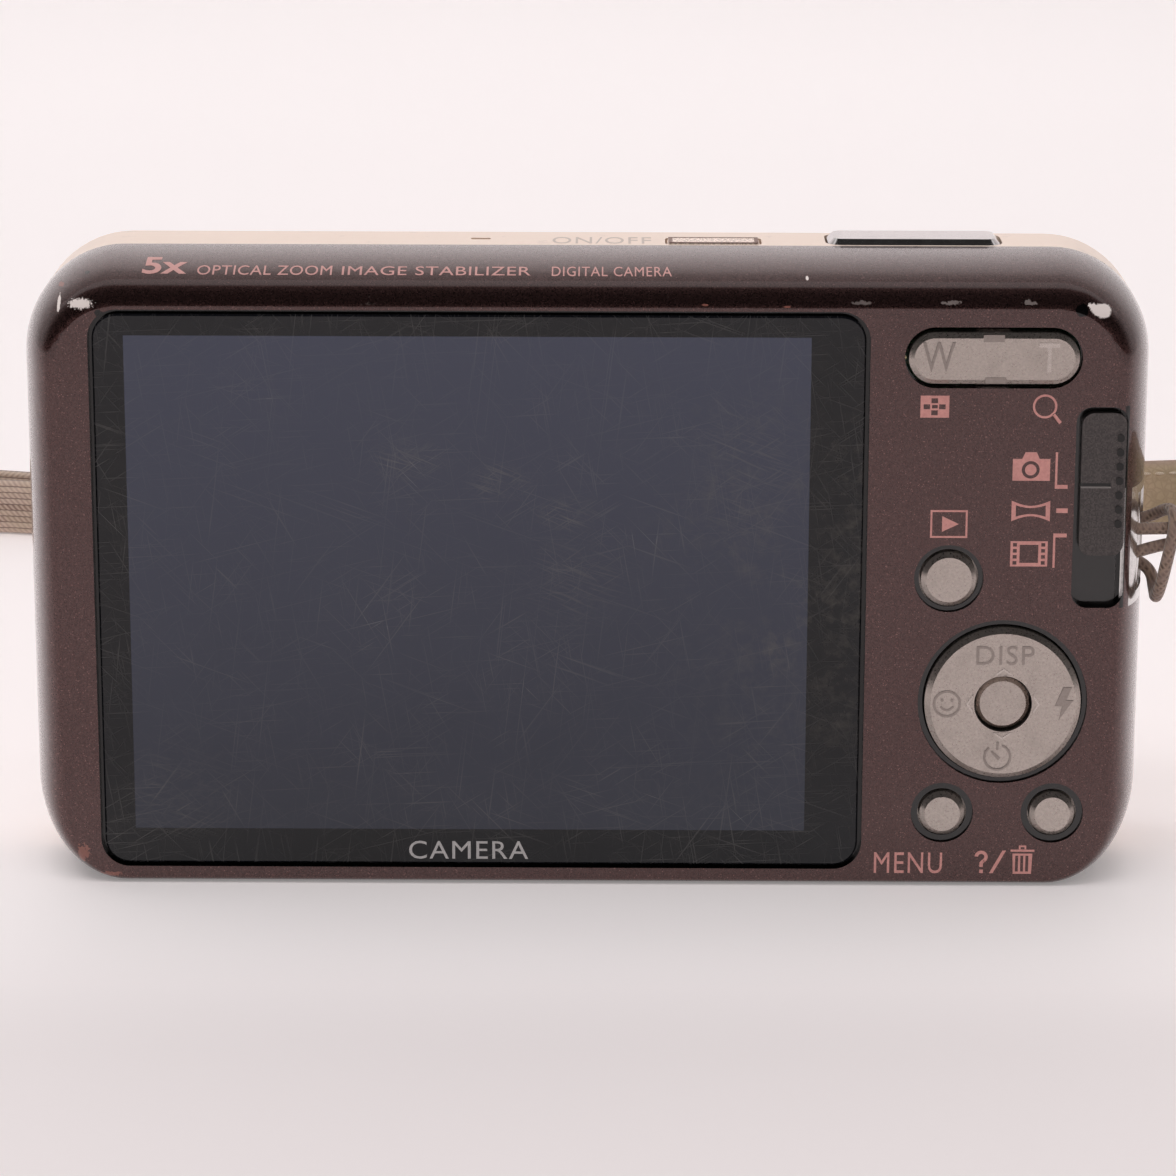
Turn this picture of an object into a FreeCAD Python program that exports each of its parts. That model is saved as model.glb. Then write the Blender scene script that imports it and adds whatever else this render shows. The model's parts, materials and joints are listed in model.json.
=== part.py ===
import FreeCAD, Part
import math
import os

# Compact digital camera. Millimetres. X to the right seen from the rear (screen)
# side, +Y from the screen towards the lens, +Z up, origin at the middle of the base.

os.makedirs("parts", exist_ok=True)
V = FreeCAD.Vector

# ---------------------------------------------------------------- driving sizes
W, H, D = 91.5, 51.5, 19.1          # body width, height, depth
YR, YF = -D / 2, D / 2              # rear and front planes
Y_SPLIT = 0.7                       # parting line between rear and front covers
R_CORNER = 8.0                      # corner radius of the outline
EDGE_IN, EDGE_DEEP = 3.3, 9.3       # rear edge rounding is a quarter ellipse, top and sides
EDGE_BOT = 0.6                      # same along the base
R_FRONT, R_FRONT_BOT = 2.85, 1.2    # front edge rounding, top and sides / base
WALL = 1.0
REAR_WALL = 1.1
PROUD = 0.6                         # pad and lens ring stand this far out

LCD = (-36.93, 17.93, 4.77, 45.92)          # active picture area, x0 x1 z0 z1
WINDOW = (-39.45, 22.3, 1.8, 47.65)         # cover window over the screen
WINDOW_R = 2.0
GROOVE = 0.35

LENS_X, LENS_Z = -16.2, 25.5        # optical axis
LENS_HALF = 20.0                    # half side of the lens unit
STAGE1_TRAVEL = 8.5
STAGE2_TRAVEL = 7.0
GROUP2_TRAVEL = 6.0
CAM_TURN = 75.0                     # degrees of cam ring for the full travel
BLADE_TURN = 32.0

BUTTON_TRAVEL = 0.35
SHUTTER_TRAVEL = 0.8
POWER_TRAVEL = 0.4
MODE_TRAVEL = 4.0

ZOOM_C = (32.5, 44.35)
PLAY_C, PLAY_R, PLAY_WELL = (29.3, 26.15), 2.25, 2.8
PAD_C, PAD_R, PAD_WELL = (33.9, 15.8), 6.35, 6.9
OK_R, OK_HOLE = 2.175, 2.35
MENU_C, DEL_C, SMALL_R, SMALL_WELL = (29.2, 6.35), (38.2, 6.35), 1.85, 2.55

TRIPOD_X, TRIPOD_Y, TRIPOD_R, TRIPOD_DEPTH = -3.0, -1.2, 2.58, 4.6
DOOR_X0, DOOR_X1, DOOR_Y0 = 4.6, 38.3, -4.6
HINGE_Y, HINGE_Z = 7.3, 1.1

CORD_D = 1.0
BAND_W, BAND_T = 6.0, 1.3


# ---------------------------------------------------------------- helpers
def box(x0, x1, y0, y1, z0, z1):
    return Part.makeBox(x1 - x0, y1 - y0, z1 - z0, V(x0, y0, z0))


def cyl_y(x, z, r, y0, y1):
    return Part.makeCylinder(r, y1 - y0, V(x, y0, z), V(0, 1, 0))


def cyl_z(x, y, r, z0, z1):
    return Part.makeCylinder(r, z1 - z0, V(x, y, z0), V(0, 0, 1))


def cyl_x(y, z, r, x0, x1):
    return Part.makeCylinder(r, x1 - x0, V(x0, y, z), V(1, 0, 0))


def ring_y(x, z, ro, ri, y0, y1):
    return cyl_y(x, z, ro, y0, y1).cut(cyl_y(x, z, ri, y0 - 1, y1 + 1))


def rrect_wire(x0, x1, z0, z1, r, y):
    def arc(cx, cz, a0):
        def p(t):
            t = math.radians(t)
            return V(cx + r * math.cos(t), y, cz + r * math.sin(t))
        return Part.Arc(p(a0), p(a0 + 45), p(a0 + 90)).toShape()
    e = []
    if x1 - x0 - 2 * r > 1e-6:
        e.append(Part.makeLine(V(x0 + r, y, z0), V(x1 - r, y, z0)))
    e.append(arc(x1 - r, z0 + r, -90))
    if z1 - z0 - 2 * r > 1e-6:
        e.append(Part.makeLine(V(x1, y, z0 + r), V(x1, y, z1 - r)))
    e.append(arc(x1 - r, z1 - r, 0))
    if x1 - x0 - 2 * r > 1e-6:
        e.append(Part.makeLine(V(x1 - r, y, z1), V(x0 + r, y, z1)))
    e.append(arc(x0 + r, z1 - r, 90))
    if z1 - z0 - 2 * r > 1e-6:
        e.append(Part.makeLine(V(x0, y, z1 - r), V(x0, y, z0 + r)))
    e.append(arc(x0 + r, z0 + r, 180))
    return Part.Wire(e)


def rrect(x0, x1, z0, z1, r, y0, y1):
    """Rounded rectangle in XZ, extruded along Y."""
    return Part.Face(rrect_wire(x0, x1, z0, z1, r, y0)).extrude(V(0, y1 - y0, 0))


def outline(inset, y0, y1):
    return rrect(-W / 2 + inset, W / 2 - inset, inset, H - inset, R_CORNER - inset, y0, y1)


def poly_y(pts, y0, y1):
    """Polygon of (x, z) points extruded along Y."""
    w = Part.makePolygon([V(x, y0, z) for x, z in pts] + [V(pts[0][0], y0, pts[0][1])])
    return Part.Face(w).extrude(V(0, y1 - y0, 0))


def cut(a, *tools):
    for t in tools:
        a = a.cut(t)
    return a


def fuse(a, *more):
    for t in more:
        a = a.fuse(t)
    return a.removeSplitter()


def fillet_where(shape, r, test):
    edges = [e for e in shape.Edges if test(e)]
    return shape.makeFillet(r, edges)


def chamfer_where(shape, r, test):
    edges = [e for e in shape.Edges if test(e)]
    return shape.makeChamfer(r, edges)


def at_y(y):
    return lambda e: abs(e.BoundBox.YMin - y) < 1e-5 and abs(e.BoundBox.YMax - y) < 1e-5


def at_z(z):
    return lambda e: abs(e.BoundBox.ZMin - z) < 1e-5 and abs(e.BoundBox.ZMax - z) < 1e-5


def save(name, shape):
    solids = shape.Solids
    if not solids or not shape.isValid():
        raise SystemExit("bad shape: " + name)
    out = solids[0] if len(solids) == 1 else Part.makeCompound(solids)
    out.exportStep("parts/" + name + ".step")
    print("%-20s solids %d volume %.2f" % (name, len(solids), shape.Volume))
    return out


# ---------------------------------------------------------------- outer covers
# Each half is a prism with its outer edge rounded. The rear edge is first rounded in a
# prism squeezed along Y, then stretched, which turns the quarter circle into a quarter
# ellipse; the rounding eases to a smaller one along the base.
doc = FreeCAD.newDocument("camera")


def rounded(prism, y_edge, r_main, r_base, name):
    base = doc.addObject("Part::Feature", name + "_base")
    base.Shape = prism
    fil = doc.addObject("Part::Fillet", name)
    fil.Base = base
    picked = []
    for i, e in enumerate(prism.Edges):
        if not at_y(y_edge)(e):
            continue
        r0 = r1 = r_main
        if e.BoundBox.ZMax < R_CORNER + 0.01:
            if abs(e.CenterOfMass.x) < 30:
                r0 = r1 = r_base
            else:
                r0 = r_base if e.valueAt(e.FirstParameter).z < 1 else r_main
                r1 = r_base if e.valueAt(e.LastParameter).z < 1 else r_main
        picked.append((i + 1, r0, r1))
    fil.Edges = picked
    doc.recompute()
    return fil.Shape.copy()


stretch = EDGE_DEEP / EDGE_IN
rear_outer = rounded(outline(0, YR, YR + (Y_SPLIT - YR) / stretch), YR, EDGE_IN, EDGE_BOT, "rear")
m = FreeCAD.Matrix()
m.A22 = stretch
m.A24 = YR * (1 - stretch)
rear_outer = rear_outer.transformGeometry(m)
front_outer = rounded(outline(0, Y_SPLIT, YF), YF, R_FRONT, R_FRONT_BOT, "front")


def room(inset, y0, y1, base):
    """Inner space: inset from the top and sides, base above the underside."""
    return rrect(-W / 2 + inset, W / 2 - inset, base, H - inset, R_CORNER - inset, y0, y1)


def inside(inset, base, y0=-12, y1=12):
    """A little smaller than room(), for trimming the pieces that fit in it."""
    return room(inset + 0.05, y0, y1, base + 0.05)


Y_IN = YR + REAR_WALL               # inner face of the rear wall, -8.45
rear_cover = cut(
    rear_outer,
    room(2.9, Y_IN, YR + 2.2, 1.45),
    room(2.25, YR + 2.1, YR + 3.2, 1.35),
    room(1.9, YR + 3.1, YR + 5.1, 1.25),
    room(1.45, YR + 5.0, YR + 8.1, 1.15),
    room(1.05, YR + 8.0, Y_SPLIT + 1, WALL),
)
# window recess with its opening, and the button openings
rear_cover = cut(
    rear_cover,
    rrect(WINDOW[0] - GROOVE, WINDOW[1] + GROOVE, WINDOW[2] - GROOVE, WINDOW[3] + GROOVE,
          WINDOW_R + GROOVE, YR - 1, YR + 0.7),
    rrect(LCD[0] - 1.0, LCD[1] + 1.0, LCD[2] - 1.0, LCD[3] + 1.0, 0.5, YR, Y_IN + 0.01),
    rrect(25.38, 39.55, 41.85, 46.8, 2.474, YR - 1, Y_IN + 0.01),
    cyl_y(PLAY_C[0], PLAY_C[1], PLAY_WELL, YR - 1, Y_IN + 0.01),
    cyl_y(PAD_C[0], PAD_C[1], PAD_WELL, YR - 1, Y_IN + 0.01),
    cyl_y(MENU_C[0], MENU_C[1], SMALL_WELL, YR - 1, Y_IN + 0.01),
    cyl_y(DEL_C[0], DEL_C[1], SMALL_WELL, YR - 1, Y_IN + 0.01),
    rrect(39.2, 43.4, 23.75, 40.35, 1.3, YR - 1, Y_IN),
)
# side pocket for the strap lug, base openings, side screw holes
LUG_BLOCK = box(42.4, 46, -7.8, -2.2, 23.65, 33.5)
LUG_PLATE = box(43.2, 46, -8.5, -7.8, 23.65, 33.5)
SCREWS_SIDE = [(-1, 12.0), (-1, 39.0), (1, 14.0)]
SCREW_Y = -2.9
rear_cover = cut(rear_cover, LUG_BLOCK, LUG_PLATE)
rear_cover = cut(
    rear_cover,
    cyl_z(TRIPOD_X, TRIPOD_Y, 4.1, -1, 2),
    box(-20.4, -11.4, -4.3, -1.1, -1, 2),
    box(DOOR_X0 - 0.2, DOOR_X1 + 0.2, DOOR_Y0 - 0.15, Y_SPLIT + 1, -1, 1.5),
)
for i in range(5):
    rear_cover = rear_cover.cut(cyl_z(-31.5 + 2.0 * i, -1.0, 0.45, -1, 2))


def side_screw(s, z, grow=0.0):
    a = cyl_x(SCREW_Y, z, 1.1, 44.9, 45.3)
    b = cyl_x(SCREW_Y, z, 0.6, 42.6, 44.9)
    m = a.fuse(b).removeSplitter()
    if s < 0:
        m = m.mirror(V(0, 0, 0), V(1, 0, 0))
    return m


def side_hole(s, z):
    m = cyl_x(SCREW_Y, z, 1.1, 44.9, 46.0).fuse(cyl_x(SCREW_Y, z, 0.6, 42.0, 44.9))
    return m.mirror(V(0, 0, 0), V(1, 0, 0)) if s < 0 else m


for s, z in SCREWS_SIDE:
    rear_cover = rear_cover.cut(side_hole(s, z))
save("rear_cover", rear_cover)

front_cover = cut(front_outer, room(WALL, Y_SPLIT - 1, YF - 2.0, WALL), room(2.0, YF - 2.1, YF - WALL, 1.1))
BASE_SCREWS = [(-30.0, 5.8), (-9.0, 5.8)]
front_cover = cut(
    front_cover,
    cyl_y(LENS_X, LENS_Z, 19.0, 5, 12),
    box(4.6, 15.0, 8, 11, 43.2, 47.4),
    cyl_y(-1.0, 46.6, 1.6, 8, 11),
    cyl_z(TRIPOD_X, TRIPOD_Y, 4.1, -1, 2),
    box(-9.6, -8.0, 3.3, 4.0, 49, 53),
    box(DOOR_X0 - 0.2, DOOR_X1 + 0.2, Y_SPLIT - 1, 8.5, -1, 1.5),
)
# power button and shutter button openings in the top strip


def top_slot(x0, x1, y0, y1, r, z0, z1):
    """Rounded rectangle in XY, extruded along Z."""
    s = rrect(x0, x1, y0, y1, r, 0, z1 - z0)
    s.rotate(V(0, 0, 0), V(1, 0, 0), 90)
    # after the turn: x stays, old z is -y, old y is z
    s = s.mirror(V(0, 0, 0), V(0, 1, 0))
    s.translate(V(0, 0, z0))
    return s


front_cover = cut(
    front_cover,
    top_slot(6.35, 14.25, 1.15, 4.3, 0.6, 49, 53),
    top_slot(19.5, 34.0, 1.15, 6.5, 1.4, 49, 53),
)
for x, y in BASE_SCREWS:
    front_cover = cut(front_cover, cyl_z(x, y, 1.1, -1, 0.5), cyl_z(x, y, 0.6, 0, 2))
save("front_cover", front_cover)

screws = [side_screw(s, z) for s, z in SCREWS_SIDE]
for x, y in BASE_SCREWS:
    screws.append(cyl_z(x, y, 1.1, 0.1, 0.5).fuse(cyl_z(x, y, 0.6, 0.5, 3.2)).removeSplitter())
save("case_screws", Part.makeCompound(screws))

# ---------------------------------------------------------------- screen
window = rrect(WINDOW[0], WINDOW[1], WINDOW[2], WINDOW[3], WINDOW_R, YR - 0.05, YR + 0.7)
window = chamfer_where(window, 0.15, at_y(YR - 0.05))
save("lcd_window", window)
save("lcd_panel", box(-38.6, 20.2, -8.40, -7.2, 2.95, 47.55))
save("lcd_backlight", box(-38.6, 20.2, -7.2, -5.9, 2.95, 47.55))
tray = box(-39.1, 20.7, -8.3, -5.5, 2.45, 48.05).cut(box(-38.65, 20.25, -9, -5.85, 2.9, 47.6))
save("lcd_frame", tray)

# ---------------------------------------------------------------- rear controls
bez = box(23.0, 42.8, Y_IN, -7.95, 2.4, 48.5).common(inside(2.9, 1.45))


def collar(c, rw, ri):
    return ring_y(c[0], c[1], rw - 0.02, ri, -9.25, Y_IN)


bez = fuse(bez, collar(PLAY_C, PLAY_WELL, PLAY_R + 0.15), collar(PAD_C, PAD_WELL, PAD_R + 0.15),
           collar(MENU_C, SMALL_WELL, SMALL_R + 0.15), collar(DEL_C, SMALL_WELL, SMALL_R + 0.15))
bez = cut(
    bez,
    cyl_y(PLAY_C[0], PLAY_C[1], PLAY_R + 0.15, -11, -7),
    cyl_y(PAD_C[0], PAD_C[1], PAD_R + 0.15, -11, -7),
    cyl_y(MENU_C[0], MENU_C[1], SMALL_R + 0.15, -11, -7),
    cyl_y(DEL_C[0], DEL_C[1], SMALL_R + 0.15, -11, -7),
    rrect(25.45, 39.5, 41.95, 46.7, 2.35, -11, -7),
    box(40.5, 41.7, -11, -7, 28.55, 35.45),
)
save("button_bezel", bez)


def cap(name, c, r, top, flange=0.6, chamfer=0.4):
    body = cyl_y(c[0], c[1], r, top, -7.85)
    body = chamfer_where(body, chamfer, at_y(top))
    body = fuse(body, cyl_y(c[0], c[1], r + flange, -7.85, -7.4), cyl_y(c[0], c[1], 0.8, -7.4, -7.05))
    return save(name, body)


cap("playback_button", PLAY_C, PLAY_R, -10.0)
cap("menu_button", MENU_C, SMALL_R, -9.95)
cap("delete_button", DEL_C, SMALL_R, -9.95)

ring = chamfer_where(cyl_y(PAD_C[0], PAD_C[1], PAD_R, YR - PROUD, -8.65), 0.45, at_y(YR - PROUD))
ring = ring.cut(cyl_y(PAD_C[0], PAD_C[1], OK_HOLE, -12, -7))
save("control_pad_ring", ring)
pb = fuse(cyl_y(PAD_C[0], PAD_C[1], 5.9, -8.35, -7.6), cyl_y(PAD_C[0], PAD_C[1], 6.9, -7.6, -7.3))
for a in range(4):
    t = math.radians(90 * a)
    pb = pb.fuse(cyl_y(PAD_C[0] + 4.6 * math.cos(t), PAD_C[1] + 4.6 * math.sin(t), 0.7, -7.3, -6.95))
pb = pb.removeSplitter().cut(cyl_y(PAD_C[0], PAD_C[1], 2.45, -12, -6))
save("control_pad_base", pb)
okb = chamfer_where(cyl_y(PAD_C[0], PAD_C[1], OK_R, -9.95, -7.15), 0.3, at_y(-9.95))
okb = fuse(okb, cyl_y(PAD_C[0], PAD_C[1], 2.8, -7.15, -6.97))
save("centre_button", okb)

zoom = chamfer_where(rrect(25.7, 39.3, 42.25, 46.4, 2.07, -10.05, -8.2), 0.4, at_y(-10.05))
zoom = fuse(zoom, box(31.0, 34.0, -8.2, -7.7, 42.55, 46.15), box(31.2, 33.8, -7.7, -7.15, 40.95, 47.65),
            cyl_y(28.0, ZOOM_C[1], 0.8, -8.2, -7.1), cyl_y(37.0, ZOOM_C[1], 0.8, -8.2, -7.1))
save("zoom_rocker", zoom)

slider = rrect(39.7, 43.3, 28.1, 39.85, 1.0, -9.52, -8.55)
slider = slider.common(rear_outer)
slider = slider.cut(rrect(39.0, 42.1, 33.75, 34.09, 0.16, -10, -9.37))
for i in range(7):
    slider = slider.fuse(cyl_y(42.8, 30.75 + 1.18 * i, 0.33, -9.6, -9.0))
slider = slider.removeSplitter()
slider = fuse(slider, box(40.6, 41.6, -8.55, -7.2, 32.95, 34.95))
save("mode_slider", slider)

board = cut(
    box(22.2, 43.6, -6.3, -5.7, 2.4, 49.0).common(inside(1.95, 1.25)),
    box(42.2, 45, -12, 0, 23.2, 36.3),
)
board = board.fuse(box(40.2, 42.0, -7.1, -6.3, 27.75, 36.35)).removeSplitter()
save("button_board", board)
domes = []
for c in (PLAY_C, MENU_C, DEL_C, PAD_C, (28.0, ZOOM_C[1]), (37.0, ZOOM_C[1])):
    domes.append(chamfer_where(cyl_y(c[0], c[1], 1.8, -6.65, -6.3), 0.2, at_y(-6.65)))
for a in range(4):
    t = math.radians(90 * a)
    domes.append(chamfer_where(cyl_y(PAD_C[0] + 4.6 * math.cos(t), PAD_C[1] + 4.6 * math.sin(t), 1.5, -6.65, -6.3), 0.2, at_y(-6.65)))
save("key_domes", Part.makeCompound(domes))

# ---------------------------------------------------------------- chassis and electronics
chassis = cut(
    box(-46, 46, -5.35, -5.0, 0, 52).common(inside(1.95, 1.25)),
    box(42.2, 46, -6, 0, 23.2, 36.3),
    box(TRIPOD_X - 5, TRIPOD_X + 5, -6, 0, 0, 6),
)
for x in (-40.5, 24.5, 41.0):
    for z in (9.0, 43.0):
        chassis = chassis.cut(cyl_y(x, z, 1.0, -6, -4))
save("chassis_plate", chassis)

pcb = box(4.6, 40.4, -4.6, -3.8, 3.0, 48.6)
pcb = fuse(pcb, box(8.0, 18.0, -3.8, -2.9, 30.0, 40.0), box(21.0, 29.0, -3.8, -2.9, 30.5, 38.5),
           box(31.5, 36.5, -3.8, -3.1, 28.0, 33.0), box(8.5, 14.5, -3.8, -3.0, 42.3, 46.3))
save("main_board", pcb)

slot = cut(
    box(12.0, 37.4, -3.75, -0.9, 2.5, 27.0),
    box(12.4, 37.0, -3.35, -1.1, 1, 26.4),
    box(17.0, 32.0, -1.5, 0, 8.0, 22.0),
)
save("card_slot", slot)

# top switches
save("switch_board", fuse(
    box(4.8, 35.5, 0.9, 6.6, 47.5, 48.0),
    chamfer_where(cyl_z(26.75, 3.8, 2.0, 48.0, 48.3), 0.2, at_z(48.3)),
    chamfer_where(cyl_z(10.3, 2.75, 1.4, 48.0, 48.2), 0.15, at_z(48.2))))


def top_button(name, x0, x1, y0, y1, r, z_top, z_flange, foot_r, foot_c, foot_z, rim, wide):
    b = top_slot(x0, x1, y0, y1, r, z_flange, z_top)
    b = chamfer_where(b, rim, at_z(z_top))
    b = fuse(b, box(x0 - wide, x1 + wide, y0 - 0.1, min(y1 + 0.1, 8.45), z_flange - 0.55, z_flange),
             cyl_z(foot_c[0], foot_c[1], foot_r, foot_z, z_flange - 0.55))
    return save(name, b)


top_button("shutter_button", 19.7, 33.8, 1.35, 6.3, 1.2, 51.9, 50.35, 1.0, (26.75, 3.8), 49.2, 0.45, 0.4)
top_button("power_button", 6.5, 14.1, 1.3, 4.15, 0.5, 51.6, 50.25, 0.8, (10.3, 2.75), 48.65, 0.2, 0.35)

# ---------------------------------------------------------------- lens unit
half = LENS_HALF
gear_n, ring_n, module = 20, 90, 0.4
cdist = (gear_n + ring_n) * module / 2
gx = LENS_X - cdist * math.sqrt(0.5)
gz = LENS_Z - cdist * math.sqrt(0.5)
housing = box(LENS_X - half, LENS_X + half, -4.0, 8.5, LENS_Z - half, LENS_Z + half)
housing = cut(
    housing,
    cyl_y(LENS_X, LENS_Z, 18.5, -2.8, 9),
    box(LENS_X - 6.0, LENS_X + 6.0, -5, 0, LENS_Z - 5.0, LENS_Z + 5.0),
    cyl_y(gx, gz, 3.55, -2.8, 4.2),
    cyl_y(gx, gz, 4.75, 4.1, 6.15),
)
save("lens_housing", housing)

save("sensor_plate", box(LENS_X - 12.5, LENS_X + 12.5, -4.7, -4.1, LENS_Z - 9.5, LENS_Z + 9.5))
save("image_sensor", box(LENS_X - 5.5, LENS_X + 5.5, -4.1, -3.1, LENS_Z - 4.5, LENS_Z + 4.5))
motor = fuse(cyl_y(gx, gz, 3.45, -2.7, 3.9)).cut(cyl_y(gx, gz, 0.65, 0, 5))
save("zoom_motor", motor)


def gear_points(n, r_root, r_tip, r_pitch, t_root, t_tip, phase):
    pts = []
    for k in range(n):
        a = phase + 2 * math.pi * k / n
        for r, h in ((r_root, -t_root), (r_tip, -t_tip), (r_tip, t_tip), (r_root, t_root)):
            da = h / 2 / r
            pts.append((r * math.cos(a + da), r * math.sin(a + da)))
    return pts


rp_g, rp_r = gear_n * module / 2, ring_n * module / 2
# the gear has a tooth on the line of centres, the ring has a gap there
toward = math.radians(45)
gear = poly_y([(gx + x, gz + z) for x, z in
               gear_points(gear_n, rp_g - 0.42, rp_g + 0.3, rp_g, 0.62, 0.26, toward)], 4.35, 5.85)
gear = fuse(gear, cyl_y(gx, gz, 0.6, 2.0, 4.4))
save("zoom_gear", gear)

cam = cyl_y(LENS_X, LENS_Z, 17.7, -2.4, 7.2)
pitch_a = 2 * math.pi / ring_n
teeth = []
for k in range(-3, 23):
    a = math.radians(225) + pitch_a * (k + 0.5)
    pts = []
    for r, h in ((17.5, -0.64), (rp_r - 0.42, -0.62), (rp_r + 0.3, -0.26), (rp_r + 0.3, 0.26), (rp_r - 0.42, 0.62), (17.5, 0.64)):
        da = h / 2 / r
        pts.append((LENS_X + r * math.cos(a + da), LENS_Z + r * math.sin(a + da)))
    teeth.append(poly_y(pts, 4.35, 5.85))
cam = cam.multiFuse(teeth).removeSplitter()
cam = cam.cut(cyl_y(LENS_X, LENS_Z, 16.9, -5, 10))
save("cam_ring", cam)

b1 = cut(cyl_y(LENS_X, LENS_Z, 16.6, -2.4, 9.3), cyl_y(LENS_X, LENS_Z, 15.2, -5, 8.5), cyl_y(LENS_X, LENS_Z, 14.4, 8, 10))
b1 = chamfer_where(b1, 0.25, lambda e: at_y(9.3)(e) and e.BoundBox.XLength > 31)
save("lens_barrel_outer", b1)
b2 = fuse(cyl_y(LENS_X, LENS_Z, 14.2, -2.0, 9.0), cyl_y(LENS_X, LENS_Z, 15.0, -2.0, -1.2))
b2 = chamfer_where(b2, 0.3, at_y(9.0))
b2 = cut(b2, cyl_y(LENS_X, LENS_Z, 13.0, -5, 8.3), cyl_y(LENS_X, LENS_Z, 5.6, 8, 10))
PIV_X, PIV_Z = 11.2, 1.3
for s in (1, -1):
    b2 = b2.fuse(cyl_y(LENS_X + PIV_X, LENS_Z + s * PIV_Z, 0.4, 7.3, 8.35))
save("lens_barrel_inner", b2.removeSplitter())


def blade(s):
    d = cyl_y(0, 0, 6.4, 7.5, 7.9).common(box(-8, 8, 7, 9, 0.06, 8))
    d = fuse(d, box(2.0, PIV_X, 7.5, 7.9, 0.3, 2.3), cyl_y(PIV_X, PIV_Z, 1.0, 7.5, 7.9))
    d = d.cut(cyl_y(PIV_X, PIV_Z, 0.46, 7, 9))
    if s < 0:
        d = d.mirror(V(0, 0, 0), V(0, 0, 1))
    d.translate(V(LENS_X, 0, LENS_Z))
    return d


save("cover_blade_upper", blade(1))
save("cover_blade_lower", blade(-1))
save("front_lens_cell", ring_y(LENS_X, LENS_Z, 13.0, 5.3, 4.8, 7.2))
save("front_lens", cyl_y(LENS_X, LENS_Z, 5.3, 5.0, 6.9))
save("rear_lens_carrier", ring_y(LENS_X, LENS_Z, 12.4, 4.1, 0.6, 2.8))
save("rear_lens", cyl_y(LENS_X, LENS_Z, 4.1, 0.8, 2.6))
save("shutter_unit", ring_y(LENS_X, LENS_Z, 11.5, 2.6, 2.8, 3.9))
bz = fuse(cyl_y(LENS_X, LENS_Z, 19.0, 8.5, YF), cyl_y(LENS_X, LENS_Z, 20.3, YF, YF + PROUD))
bz = chamfer_where(bz, 0.35, at_y(YF + PROUD))
bz = bz.cut(cyl_y(LENS_X, LENS_Z, 17.05, 5, 12))
save("lens_bezel", bz)

# ---------------------------------------------------------------- flash, lamp, sound
save("flash_window", box(4.6, 15.0, 8.55, 9.55, 43.2, 47.4))
refl = cut(
    box(5.0, 14.6, 4.6, 8.5, 43.5, 47.1),
    Part.Face(Part.makePolygon([V(5.4, 8.6, 43.7), V(5.4, 8.6, 46.9), V(5.4, 5.4, 46.2), V(5.4, 5.4, 44.4), V(5.4, 8.6, 43.7)])).extrude(V(8.8, 0, 0)),
)
save("flash_reflector", refl)
save("flash_tube", cyl_x(6.4, 45.3, 0.7, 5.5, 14.1))
save("flash_capacitor", cyl_z(-40.35, 2.2, 3.7, 14.0, 41.0))
save("af_lamp_window", cyl_y(-1.0, 46.6, 1.6, 8.55, 9.55))
save("microphone", cyl_z(-8.8, 3.65, 1.9, 48.4, 50.45))
save("speaker", box(-33.0, -22.0, -3.8, 1.8, 1.2, 4.2))

# ---------------------------------------------------------------- base fittings
nut = cyl_z(TRIPOD_X, TRIPOD_Y, 4.1, 0.0, 5.1).cut(cyl_z(TRIPOD_X, TRIPOD_Y, TRIPOD_R, -1, TRIPOD_DEPTH))
nut = chamfer_where(nut, 0.3, lambda e: at_z(0)(e) and e.BoundBox.XLength < 6)
save("tripod_nut", nut)
conn = cut(box(-20.4, -11.4, -4.3, -1.1, 0.2, 4.7), box(-19.9, -11.9, -3.8, -1.6, -1, 3.9))
conn = fuse(conn, box(-19.0, -12.8, -2.95, -2.45, 0.7, 4.2))
save("multi_connector", conn)

lug = fuse(LUG_BLOCK, LUG_PLATE).common(rear_outer)
BAR_X, BAR_Y, BAR_R = 44.6, -5.0, 0.55
lug = cut(lug, box(42.9, 47, -7.1, -2.9, 24.55, 32.75))
lug = fuse(lug, cyl_z(BAR_X, BAR_Y, BAR_R, 24.35, 32.95))
save("strap_lug", lug)

# ---------------------------------------------------------------- battery bay and door
bb = cut(
    box(4.2, 38.8, 0.9, 7.0, 2.0, 43.0),
    box(4.8, 38.2, 1.45, 6.5, 1.0, 42.4),
)
EARS = [(8.0, 9.8), (20.2, 23.8), (33.2, 35.0)]
for x0, x1 in EARS:
    ear = fuse(box(x0, x1, HINGE_Y - 0.6, HINGE_Y + 0.75, 0.5, 3.4))
    bb = bb.fuse(ear)
bb = bb.removeSplitter().cut(cyl_x(HINGE_Y, HINGE_Z, 0.4, 7.5, 35.5))
save("battery", box(5.0, 38.0, 1.6, 6.35, 2.5, 41.4))
save("battery_contacts", Part.makeCompound([box(x, x + 1.2, 3.4, 4.6, 41.4, 42.4) for x in (8.0, 11.0, 14.0, 17.0)]))
save("door_pin", cyl_x(HINGE_Y, HINGE_Z, 0.4, 8.0, 35.0))

door = box(DOOR_X0, DOOR_X1, DOOR_Y0, 6.3, 0.05, 1.15)
knuckles = [(10.0, 20.0), (24.0, 33.0)]
for x0, x1 in knuckles:
    door = door.fuse(box(x0, x1, 6.0, HINGE_Y - 0.1, 0.15, 1.15))
    door = door.fuse(cyl_x(HINGE_Y, HINGE_Z, 0.88, x0, x1))
door = door.removeSplitter().cut(cyl_x(HINGE_Y, HINGE_Z, 0.45, 5, 39))
door = door.cut(box(17.5, 25.5, -3.9, -0.9, -1, 2))
save("battery_door", door)
latch = fuse(box(17.7, 25.3, -3.7, -2.0, 0.2, 1.25), box(17.0, 26.0, -4.4, -1.4, 1.25, 1.7))
for i in range(4):
    latch = latch.cut(box(18.6, 24.4, -3.45 + 0.4 * i, -3.27 + 0.4 * i, 0.0, 0.35))
save("door_latch", latch)
lever = fuse(box(19.0, 25.0, 0.4, 2.3, 1.85, 2.35), box(20.5, 23.5, -0.3, 0.4, 1.85, 2.35))
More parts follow.
